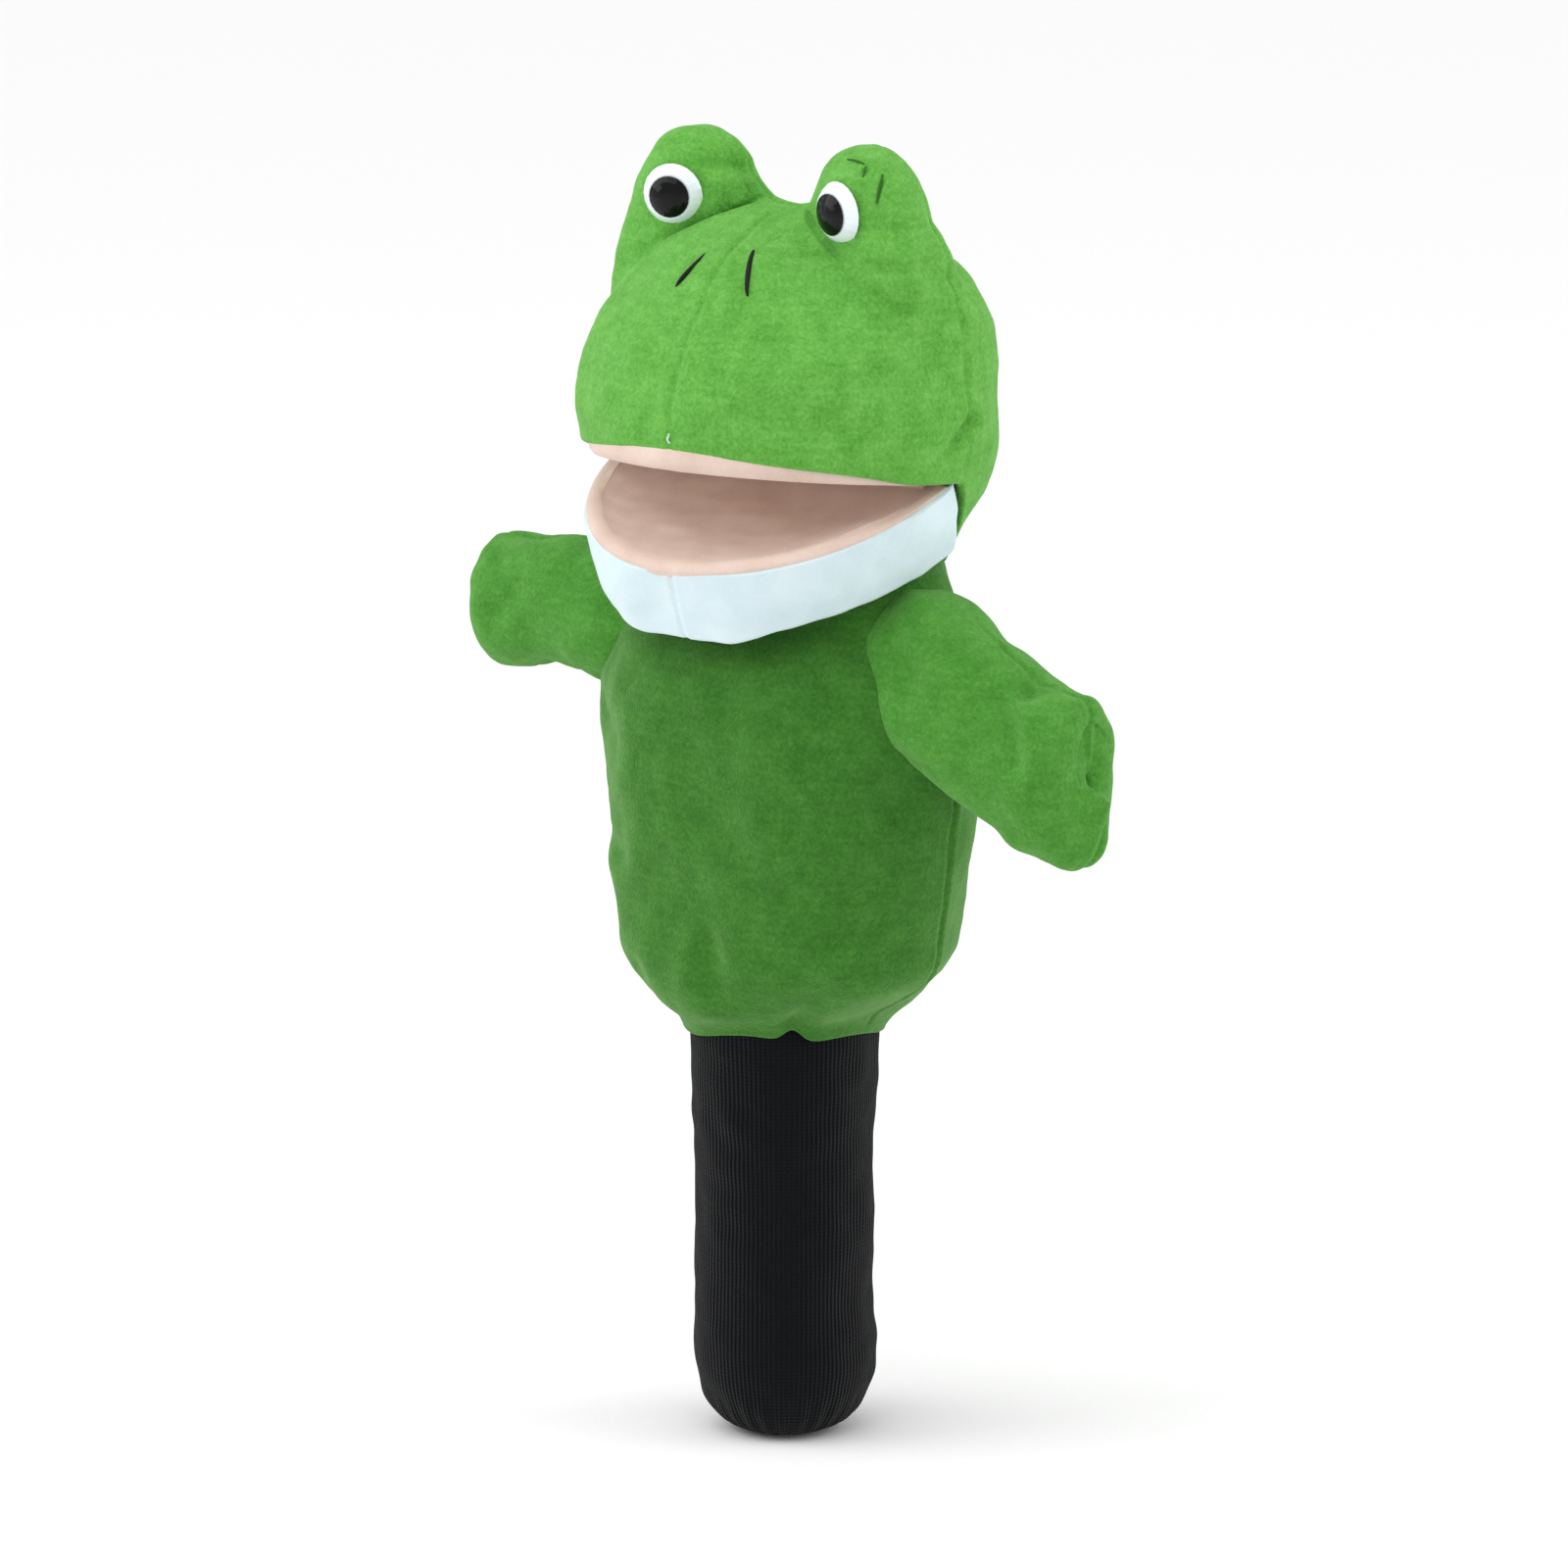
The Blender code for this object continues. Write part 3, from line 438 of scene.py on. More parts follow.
@dataclass(frozen=True)
class RibKnit:
    """Fine one-by-one rib knit of black acrylic: upright ribs with tiny stitches along them."""

    name: str
    deep: str
    bright: str
    rib_count: int = 120     # ribs round the sleeve, about 1.35 mm apart
    stitch: float = 1.1      # stitch height, mm

    def make(self) -> bpy.types.Material:
        """Build the material."""
        made, tree, shader = new_material(self.name, self.deep)
        place = add_node(tree, "ShaderNodeTexCoord").outputs["Object"]
        split = add_node(tree, "ShaderNodeSeparateXYZ", {"Vector": place})
        turn = add_node(tree, "ShaderNodeMath", {0: split.outputs["Y"], 1: split.outputs["X"]},
                        operation="ARCTAN2")
        phase = add_node(tree, "ShaderNodeMath", {0: turn.outputs[0], 1: float(self.rib_count)},
                         operation="MULTIPLY")
        rib = add_node(tree, "ShaderNodeMath", {0: phase.outputs[0]}, operation="COSINE")
        climb = add_node(tree, "ShaderNodeMath", {
            0: split.outputs["Z"], 1: 2.0 * math.pi * per_metre(self.stitch)}, operation="MULTIPLY")
        stitch = add_node(tree, "ShaderNodeMath", {0: climb.outputs[0]}, operation="SINE")
        height = add_node(tree, "ShaderNodeMath", {0: stitch.outputs[0], 1: 0.3, 2: rib.outputs[0]},
                          operation="MULTIPLY_ADD")
        lint = add_node(tree, "ShaderNodeTexNoise", {
            "Vector": place, "Scale": per_metre(2.5), "Detail": 3.0, "Roughness": 0.7})
        tone = add_node(tree, "ShaderNodeMath", {0: height.outputs[0], 1: 0.16, 2: lint.outputs["Fac"]},
                        operation="MULTIPLY_ADD")
        colour = colour_ramp(tree, tone.outputs[0], ((0.25, self.deep), (0.8, self.bright)))
        surface(tree, shader, colour, (height.outputs[0], 0.6, 0.35), {
            "Roughness": 0.95, "Specular IOR Level": 0.15, "Sheen Weight": 0.06, "Sheen Roughness": 0.5})
        return made


@dataclass(frozen=True)
class MouldedPlastic:
    """Injection-moulded plastic with a faint orange-peel in its polish."""

    name: str
    colour: str
    shade: str
    roughness: float
    coat: float = 0.0
    gloss: float = 0.5

    def make(self) -> bpy.types.Material:
        """Build the material."""
        made, tree, shader = new_material(self.name, self.colour)
        place = add_node(tree, "ShaderNodeTexCoord").outputs["Object"]
        cloud = add_node(tree, "ShaderNodeTexNoise", {
            "Vector": place, "Scale": per_metre(3.0), "Detail": 2.0})
        colour = colour_ramp(tree, cloud.outputs["Fac"], ((0.2, self.shade), (0.7, self.colour)))
        surface(tree, shader, colour, (cloud.outputs["Fac"], 0.05, 0.1), {
            "Roughness": self.roughness, "IOR": 1.46, "Specular IOR Level": self.gloss,
            "Coat Weight": self.coat, "Coat Roughness": 0.04})
        return made


@dataclass(frozen=True)
class FibreStock:
    """Plain fibre stock for hidden parts: thread, lining, filling, elastic and board."""

    name: str
    deep: str
    bright: str
    grain: float
    roughness: float = 0.85

    def make(self) -> bpy.types.Material:
        """Build the material."""
        made, tree, shader = new_material(self.name, self.bright)
        place = add_node(tree, "ShaderNodeTexCoord").outputs["Object"]
        grain = add_node(tree, "ShaderNodeTexNoise", {
            "Vector": place, "Scale": per_metre(self.grain), "Detail": 3.0, "Roughness": 0.65})
        colour = colour_ramp(tree, grain.outputs["Fac"], ((0.3, self.deep), (0.7, self.bright)))
        surface(tree, shader, colour, (grain.outputs["Fac"], 0.4, 0.2), {
            "Roughness": self.roughness, "Specular IOR Level": 0.2})
        return made


class Finishes:
    """Every finish of the puppet, built once."""

    def __init__(self) -> None:
        """Build the materials."""
        bloom = "#b9e6a0"
        self.head_plush = ShortPilePlush("crystal_velvet_head", "#4b9132", "#5fa642", "#74b956", bloom).make()
        # The body plush is the head's cloth in darker colours: painted shade under the head and away from the
        # top light.
        self.shaded_body_plush = ShortPilePlush(
            "crystal_velvet_body_painted_shade", "#2c611c", "#397226", "#488333", bloom, sheen=0.55).make()
        # The arm plush is the head's cloth in darker colours: painted shade of the arms.
        self.arm_plush = ShortPilePlush("crystal_velvet_arm_painted_shade", "#3a7b26", "#498b32", "#5a9b42", bloom).make()
        self.fleece = BrushedTricot("sheared_fleece_white", "#c6dae0", "#d6e6eb").make()
        self.mouth = BrushedTricot("brushed_tricot_beige", "#cfb6a8", "#dfcabd").make()
        self.knit = RibKnit("rib_knit_black", "#030406", "#090b0f").make()
        self.eye_white = MouldedPlastic("moulded_plastic_white", "#eef5fb", "#e6eff8", 0.18, 0.6).make()
        self.eye_black = MouldedPlastic(
            "moulded_plastic_black", "#08090b", "#040506", 0.14, gloss=0.24).make()
        self.washer = MouldedPlastic("moulded_plastic_natural", "#d8d8d4", "#c8c8c4", 0.45).make()
        self.thread = FibreStock("embroidery_thread_black", "#080808", "#1c1c1c", 0.4, 0.6).make()
        self.pale_thread = FibreStock("sewing_thread_pale", "#cfe0d8", "#eef6f0", 0.3, 0.6).make()
        self.green_thread = FibreStock("sewing_thread_green", "#265717", "#346e22", 0.3, 0.7).make()
        self.lining = FibreStock("woven_lining_black", "#101012", "#1f2022", 0.6).make()
        self.filling = FibreStock("polyester_fibre_filling", "#dcdcd6", "#f4f4f0", 1.5).make()
        self.board = FibreStock("stiffener_board", "#a5906c", "#bfa985", 1.0).make()
        self.elastic = FibreStock("braided_elastic_black", "#0c0c0c", "#202020", 0.8, 0.7).make()


# ---- sleeve ---------------------------------------------------------------------------------------

@dataclass
class Sleeve:
    """The rib-knit sleeve, drawn in at its lower end by an elastic."""

    finishes: Finishes
    top: float = 125.0
    dome: float = 27.0
    mouth: float = 10.5
    girth: float = 26.3      # outer radius where the rounded end meets the wall
    rows: int = 200
    columns: int = 240

    def radius(self, height: Array) -> Array:
        """Outer radius at a height above the rounded end."""
        return curve_through((0.0, 24.0, 50.0, 75.0, 104.0, 118.0, 126.0),
                             (26.0, 26.3, 25.6, 26.0, 27.0, 27.6, 27.4), height)

    def outline(self) -> Array:
        """Radius and height from the drawn-in mouth up the outside."""
        turn = np.linspace(0.0, math.pi / 2, 46)[:-1]
        power = 2.0 / 2.05
        radius = self.mouth + (self.girth - self.mouth) * np.sin(turn) ** power
        height = self.dome * (1.0 - np.cos(turn) ** power)
        rise = np.linspace(self.dome, self.top, self.rows - len(turn))
        tucked = np.array([(self.mouth + 1.4, 4.0), (self.mouth + 0.3, 2.2), (self.mouth - 0.1, 0.9)])
        lower = np.column_stack((radius, height))
        upper = np.column_stack((self.radius(rise), rise))
        return np.vstack((tucked, lower, upper))

    def build(self) -> list[bpy.types.Object]:
        outline = self.outline()
        turn = np.linspace(0.0, 2.0 * math.pi, self.columns, endpoint=False)
        radius, height = outline[:, 0][:, None], outline[:, 1][:, None]
        points = stacked(radius * np.cos(turn), radius * np.sin(turn), height)
        gathered = 1.0 - smooth_step(0.0, 16.0, height)
        lift = 0.55 * gathered * np.cos(26.0 * turn) * smooth_step(-2.0, 2.0, radius - self.mouth)
        lift = lift + 0.35 * softness(points, 38.0, 3) + 0.12 * softness(points, 11.0, 4)
        held = smooth_step(0.0, 3.0, height)
        points[..., :2] *= (1.0 + (lift * held / np.maximum(radius, 1.0)))[..., None]
        points[..., 2] = np.maximum(points[..., 2], 0.05)
        knit = Maker.grid("sleeve_knit", points, wrap=True)
        Maker.dress(knit, self.finishes.knit, "rib_knit")
        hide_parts("sleeve_outer_layer")
        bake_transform(knit)
        return [knit]


# ---- body bag -------------------------------------------------------------------------------------

@dataclass
class BodyBag:
    """The plush bag that takes the hand, with its gathered hem and side seams."""

    finishes: Finishes
    columns: int = 400
    rows: int = 220
    hem: float = 121.5
    neck: float = 264.0

    stations = (119.0, 122.0, 127.0, 133.0, 138.5, 144.0, 156.0, 180.0, 207.0, 219.0, 232.0, 244.0,
                254.0, 266.0)
    half_widths = (28.8, 31.0, 38.5, 45.0, 50.5, 53.6, 56.0, 58.3, 61.0, 61.5, 58.0, 52.0, 47.0, 44.5)
    fronts = (28.8, 30.5, 34.5, 37.5, 39.0, 39.8, 40.0, 40.5, 41.0, 39.5, 35.5, 28.5, 26.0, 25.5)
    backs = (28.8, 30.5, 34.5, 37.5, 39.0, 39.8, 40.0, 40.5, 42.0, 43.0, 43.5, 43.0, 42.0, 41.0)

    folds = (
        Fold(((-53.0, -24.0, 240.0), (-53.0, -24.0, 150.0)), 15.0, 3.6, 0.0),
        Fold(((-64.0, -8.0, 187.0), (-52.0, -26.0, 176.0), (-36.0, -36.0, 171.0)), 4.0, 2.2),
        Fold(((-60.0, -18.0, 212.0), (-40.0, -36.0, 204.0)), 5.0, 1.6),
        Fold(((58.0, -18.0, 196.0), (46.0, -32.0, 190.0), (30.0, -38.0, 188.0)), 5.0, 1.4),
        Fold(((44.0, -36.0, 226.0), (28.0, -40.0, 220.0), (8.0, -42.0, 222.0)), 5.0, 1.5),
        Fold(((-10.0, -42.0, 232.0), (-30.0, -38.0, 224.0)), 4.5, 1.3),
        Fold(((10.0, -44.0, 121.0), (4.0, -42.0, 136.0), (2.0, -42.0, 150.0)), 4.0, 1.8),
        Fold(((-24.0, -36.0, 121.0), (-28.0, -36.0, 138.0)), 3.5, 1.2),
        Fold(((40.0, -30.0, 124.0), (46.0, -28.0, 142.0)), 3.5, 1.2),
        Fold(((30.0, 36.0, 200.0), (0.0, 44.0, 194.0), (-30.0, 36.0, 202.0)), 6.0, 1.5),
        Fold(((20.0, 34.0, 124.0), (24.0, 38.0, 145.0)), 4.0, 1.4),
        Fold(((-18.0, 34.0, 124.0), (-20.0, 38.0, 148.0)), 4.0, 1.4),
    )

    def build(self) -> list[bpy.types.Object]:
        """Build the bag in one mesh, with its side seams grooved into it and its hem turned under."""
        turn = np.linspace(0.0, 2.0 * math.pi, self.columns, endpoint=False)[None, :]
        share = np.linspace(0.0, 1.0, self.rows)[:, None]
        notch = 3.4 * np.exp(-((turn - 1.5 * math.pi - 0.71) / 0.13) ** 2)
        lobes = 1.2 * np.cos(2.0 * (turn + 1.05)) + notch + 0.7 * np.cos(5.0 * turn + 0.6)
        low = self.hem + lobes
        height = low + (self.neck - low) * share
        near_hem = 1.0 - smooth_step(0.0, 0.25, share)
        level = near_hem * (self.stations[0] + (height - low) * 1.02) + (1.0 - near_hem) * height
        width = curve_through(self.stations, self.half_widths, level)
        front = curve_through(self.stations, self.fronts, level)
        back = curve_through(self.stations, self.backs, level)
        x = width * squarish(np.cos(turn), 0.93)
        depth = np.where(np.sin(turn) > 0, back, front)
        y = depth * squarish(np.sin(turn), 0.93)
        points = self.relax(stacked(x, y, height))
        points = np.concatenate((self.hem_tuck(points), points), axis=0)
        body = Maker.grid("body_bag", points, wrap=True)
        # Darker body plush: painted shade.
        Maker.dress(body, self.finishes.shaded_body_plush, "plush_body")
        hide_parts("body_front_panel", "body_back_panel")
        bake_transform(body)
        return [body]

    def relax(self, points: Array) -> Array:
        """Sag, dent and groove the plain bag."""
        normals = grid_normals(points, wrap=True)
        lift = 0.9 * softness(points, 46.0, 11) + 0.22 * softness(points, 19.0, 12) \
            + 0.05 * softness(points, 6.0, 13)
        for fold in self.folds:
            lift = lift + fold.lift(points)
        side_seam = np.where(points[..., 2] < 236.0, np.abs(points[..., 1]), 9.0)
        lift = (lift + seam_lift(side_seam)) * smooth_step(-1.0, 9.0, points[..., 2] - points[:1, :, 2])
        return points + normals * lift[..., None]

    def hem_tuck(self, points: Array) -> Array:
        """Rows that turn the hem under and up against the sleeve."""
        edge = points[0]
        radial = unit(edge * np.array([1.0, 1.0, 0.0]))
        rows = []
        for angle in np.linspace(math.pi * 0.9, 0.15 * math.pi, 7):
            inward = 1.1 * (1.0 - math.cos(angle))
            drop = 1.3 * math.sin(angle)
            rows.append(edge - radial * inward - np.array([0.0, 0.0, drop]))
        rows.insert(0, rows[0] + np.array([0.0, 0.0, 5.0]))
        return np.stack(rows)


# ---- head -----------------------------------------------------------------------------------------

@dataclass
class Head:
    """The stuffed head cover: muzzle, eye bumps and the back of the head, split at its seams."""

    finishes: Finishes
    columns: int = 480
    low_rows: int = 84
    high_rows: int = 170
    centre = (0.0, 4.0, 318.0)
    waist = 300.0
    rise = 57.5
    half_width = 61.2
    depth = 56.0
    set_back = 1.2
    bump_centre = (29.4, -1.2, 348.0)
    bump_radii = (20.0, 12.6, 17.0, 30.0)     # side, front, back, up
    lip_reach = (0.0, 19.0, 32.0, 45.0, 60.0)         # distance in front of the middle
    lip_height = (285.4, 287.6, 291.0, 293.7, 295.9)  # height of the lip there
    neck_edge = 259.5                                 # height of the lower edge behind
    eye_seat = (29.0, -13.7, 360.0)
    toe_in = math.radians(16.0)
    tip_down = math.radians(4.0)

    folds = (
        Fold(((35.0, -18.0, 348.5), (44.0, -16.0, 345.5), (52.0, -6.0, 344.0), (57.0, 5.0, 343.0)),
             2.4, 1.6),
        Fold(((56.0, -14.0, 289.0), (60.0, -3.0, 295.0), (61.0, 5.0, 301.0)), 2.0, 2.4, 0.35),
        Fold(((-56.0, -14.0, 289.0), (-60.0, -3.0, 295.0), (-61.0, 5.0, 301.0)), 2.0, 2.4, 0.35),
        Fold(((-21.0, -12.0, 368.5), (-14.0, -5.0, 369.0), (-11.0, 5.0, 367.0)), 2.8, 1.7),
        Fold(((-19.0, -14.0, 361.0), (-12.0, -11.0, 361.0), (-7.0, -4.0, 361.0)), 2.4, 1.4),
        Fold(((-22.0, -7.0, 378.5), (-16.0, -3.0, 376.0)), 2.0, 2.4, 0.2),
        Fold(((43.0, -13.0, 362.0), (47.0, -10.0, 350.0)), 3.4, 1.5),
        Fold(((44.0, 20.0, 350.0), (56.0, 8.0, 340.0)), 4.0, 1.6),
        Fold(((-30.0, -46.0, 322.0), (-40.0, -38.0, 312.0)), 6.0, 1.0),
        Fold(((24.0, -50.0, 308.0), (40.0, -40.0, 304.0)), 7.0, 0.9),
        Fold(((-20.0, 44.0, 330.0), (10.0, 50.0, 322.0)), 7.0, 1.2),
        Fold(((-40.0, 34.0, 268.0), (-44.0, 34.0, 284.0)), 4.0, 1.4),
        Fold(((34.0, 40.0, 268.0), (36.0, 42.0, 286.0)), 4.0, 1.4),
    )

    darts = (
        ((29.0, -8.5, 377.6), (35.0, -9.0, 375.0)),
        ((35.6, -9.2, 374.4), (34.4, -11.5, 367.0)),
        ((41.5, -8.5, 373.5), (40.3, -12.0, 362.5)),
    )

    def eye_axis(self, side: Side) -> Array:
        """Unit vector out of one eye."""
        return np.array([-side.value * math.sin(self.toe_in) * math.cos(self.tip_down),
                         -math.cos(self.toe_in) * math.cos(self.tip_down), -math.sin(self.tip_down)])

    def skull(self, p: Array) -> Array:
        """Signed distance, roughly, to the dome and muzzle without the bumps."""
        x, y, z = p[..., 0], p[..., 1] - self.set_back, p[..., 2]
        across = np.abs(x) / self.half_width
        along = np.abs(y) / self.depth
        plan = 2.0 + 0.12 * (y > 0)
        ring = (across ** plan + along ** plan) ** (1.0 / plan)
        heading = np.arctan2(along, np.maximum(across, 1e-6))
        end_power = np.where(y < 0, 1.68, 2.15)
        power = 2.08 + (end_power - 2.08) * np.sin(heading) ** 2
        up = np.clip((z - self.waist) / self.rise, 0.0, None)
        over = (ring ** power + up ** power) ** (1.0 / power) - 1.0
        drawn_in = 0.565 + 0.15 * smooth_step(5.0, 25.0, y)
        tuck = 1.0 - drawn_in * (np.clip(self.waist - z, 0.0, None) / 70.0) ** 2
        return np.where(z >= self.waist, over, ring - tuck) * self.depth

    def bump(self, p: Array, side: Side) -> Array:
        """Signed distance, roughly, to one eye bump."""
        outward = (p[..., 0] * side.value - self.bump_centre[0])
        inboard = p[..., 1] - self.bump_centre[1]
        x = outward * math.cos(self.toe_in) - inboard * math.sin(self.toe_in)
        y = outward * math.sin(self.toe_in) + inboard * math.cos(self.toe_in)
        low = np.clip(self.bump_centre[2] + 8.0 - p[..., 2], 0.0, 30.0)
        x = (x - 0.16 * low) / (self.bump_radii[0] + 0.16 * low)
        y = y / np.where(y < 0, self.bump_radii[1], self.bump_radii[2] + 0.5 * low)
        z = (p[..., 2] - self.bump_centre[2]) / self.bump_radii[3]
        plan = np.sqrt(x * x + y * y)
        return ((plan ** 2.3 + np.abs(z) ** 2.3) ** (1.0 / 2.3) - 1.0) * self.bump_radii[0]

    def seat(self, p: Array, side: Side) -> Array:
        """Signed distance, roughly, to the plush pressed flat behind one eye."""
        axis = self.eye_axis(side)
        middle = np.array([side.value * self.eye_seat[0], self.eye_seat[1], self.eye_seat[2]]) - axis * 3.2
        offset = p - middle
        along = offset @ axis
        across = np.linalg.norm(offset - along[..., None] * axis, axis=-1)
        return (np.sqrt((across / 9.6) ** 2 + (along / 3.4) ** 2) - 1.0) * 4.0

    def distance(self, p: Array) -> Array:
        """Signed distance, roughly, to the whole head."""
        blend = 2.2 + 9.0 * smooth_step(-8.0, 10.0, p[..., 1]) \
            + 8.0 * smooth_step(36.0, 50.0, np.abs(p[..., 0])) * smooth_step(-16.0, 0.0, p[..., 1])
        total = self.skull(p)
        for side in Side:
            total = smooth_min(total, smooth_min(self.bump(p, side), self.seat(p, side), 3.5), blend)
        return total

    def lower_edge(self, turn: Array) -> Array:
        """Height of the cover's lower edge at each heading about the middle: lip in front, neck behind."""
        reach = np.clip(-self.depth * np.sin(turn), 0.0, None)
        lip = curve_through(self.lip_reach, self.lip_height, reach)
        behind = smooth_step(math.radians(-0.5), math.radians(14.0), np.arcsin(np.sin(turn)))
        return lip + (self.neck_edge - lip) * behind

    def solve(self, origin: Array, direction: Array) -> Array:
        """Points where rays leave the head."""
        near = np.full(direction.shape[:-1], 4.0)
        far = np.full(direction.shape[:-1], 105.0)
        for _ in range(20):
            middle = (near + far) / 2.0
            inside = self.distance(origin + direction * middle[..., None]) < 0.0
            near = np.where(inside, middle, near)
            far = np.where(inside, far, middle)
        return origin + direction * near[..., None]

    def surface(self) -> Array:
        """Grid of points from the crown down to the lower edge, columns turning about the middle."""
        turn = np.linspace(0.0, 2.0 * math.pi, self.columns, endpoint=False)[None, :]
        middle = np.array(self.centre)
        pitch = np.linspace(math.pi / 2, 0.0, self.high_rows)[:, None]
        upper = stacked(np.cos(turn) * np.cos(pitch), np.sin(turn) * np.cos(pitch), np.sin(pitch))
        crown = self.solve(middle, upper)
        share = np.linspace(0.0, 1.0, self.low_rows)[1:, None]
        height = middle[2] + (self.lower_edge(turn) - middle[2]) * share
        flat = stacked(np.cos(turn), np.sin(turn), 0.0 * share)
        origin = stacked(middle[0], middle[1], height)
        return np.concatenate((crown, self.solve(origin, flat)), axis=0)

    def relax(self, points: Array) -> Array:
        """Dent, crease and groove the plain head."""
        normals = -grid_normals(points, wrap=True)
        lift = 0.55 * softness(points, 40.0, 21) + 0.20 * softness(points, 16.0, 22) \
            + 0.05 * softness(points, 5.0, 23)
        lift = lift * (0.25 + 0.75 * smooth_step(1.0, 12.0, points[..., 2] - points[-1:, :, 2]))
        near_eye = np.full(points.shape[:-1], 99.0)
        for side in Side:
            eye = np.array([side.value * self.eye_seat[0], self.eye_seat[1], self.eye_seat[2]])
            near_eye = np.minimum(near_eye, np.linalg.norm(points - eye, axis=-1))
        lift = lift * smooth_step(8.0, 16.0, near_eye)
        for fold in self.folds:
            lift = lift + fold.lift(points) * smooth_step(9.0, 13.0, near_eye)
        muzzle_seam = np.where(points[..., 1] < -6.0, np.abs(points[..., 0]), 9.0)
        back_seam = np.where(points[..., 1] > 20.0, np.abs(points[..., 0]), 9.0)
        side_seam = np.abs(points[..., 1] - self.centre[1])
        lift = lift + seam_lift(muzzle_seam, 0.55) + seam_lift(back_seam, 0.8) + seam_lift(side_seam, 0.7)
        bumps = np.minimum(self.bump(points, Side.LEFT), self.bump(points, Side.RIGHT))
        crease = np.abs(self.skull(points) - bumps)
        in_front = (1.0 - smooth_step(-4.0, 3.0, points[..., 1])) * smooth_step(344.0, 351.0, points[..., 2])
        lift = lift + in_front * seam_lift(crease, 1.5, 1.1)
        for path in self.darts:
            lift = lift + seam_lift(distance_to_path(points, path), 0.9, 0.7)
        lift = lift * (0.2 + 0.8 * smooth_step(0.5, 7.0, points[..., 2] - points[-1:, :, 2]))
        return points + normals * lift[..., None]

    def roll(self, edge: Array, middle: Array) -> Array:
        """Rows that roll the lower edge round and up inside."""
        outward = unit((edge - middle) * np.array([1.0, 1.0, 0.0]))
        rows = []
        for angle in np.linspace(0.0, math.pi, 9)[1:]:
            drop = np.array([0.0, 0.0, 2.2 * math.sin(angle)])
            rows.append(edge - outward * 2.0 * (1.0 - math.cos(angle)) - drop)
        rows.append(rows[-1] + np.array([0.0, 0.0, 4.0]))
        return np.stack(rows)

    def build(self) -> list[bpy.types.Object]:
        """Build the cover and split it into its sewn panels."""
        points = self.relax(self.surface())
        middle = np.array(self.centre)
        points = np.concatenate((points, self.roll(points[-1], middle)), axis=0)
        quarter = self.columns // 4
        panels = (
            ("head_back_left", 0, ("head_back_left_panel",)),
            ("head_back_right", 1, ("head_back_right_panel",)),
            ("muzzle_right", 2, ("muzzle_right_panel", "eye_bump_right", "bump_filling_right")),
            ("muzzle_left", 3, ("muzzle_left_panel", "eye_bump_left", "bump_filling_left", "muzzle_filling")),
        )
        normals = grid_normals(points, wrap=True)
        made = []
        for name, number, nodes in panels:
            columns = np.arange(number * quarter, (number + 1) * quarter + 1) % self.columns
            panel = Maker.grid(name, points[:, columns], flip=True)
            panel.data.normals_split_custom_set_from_vertices(
                (-normals[:, columns]).reshape(-1, 3).tolist())
            Maker.dress(panel, self.finishes.head_plush, "plush_head")
            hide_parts(*nodes)
            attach(panel, "head")
            made.append(panel)
        return made


# ---- mouth ----------------------------------------------------------------------------------------

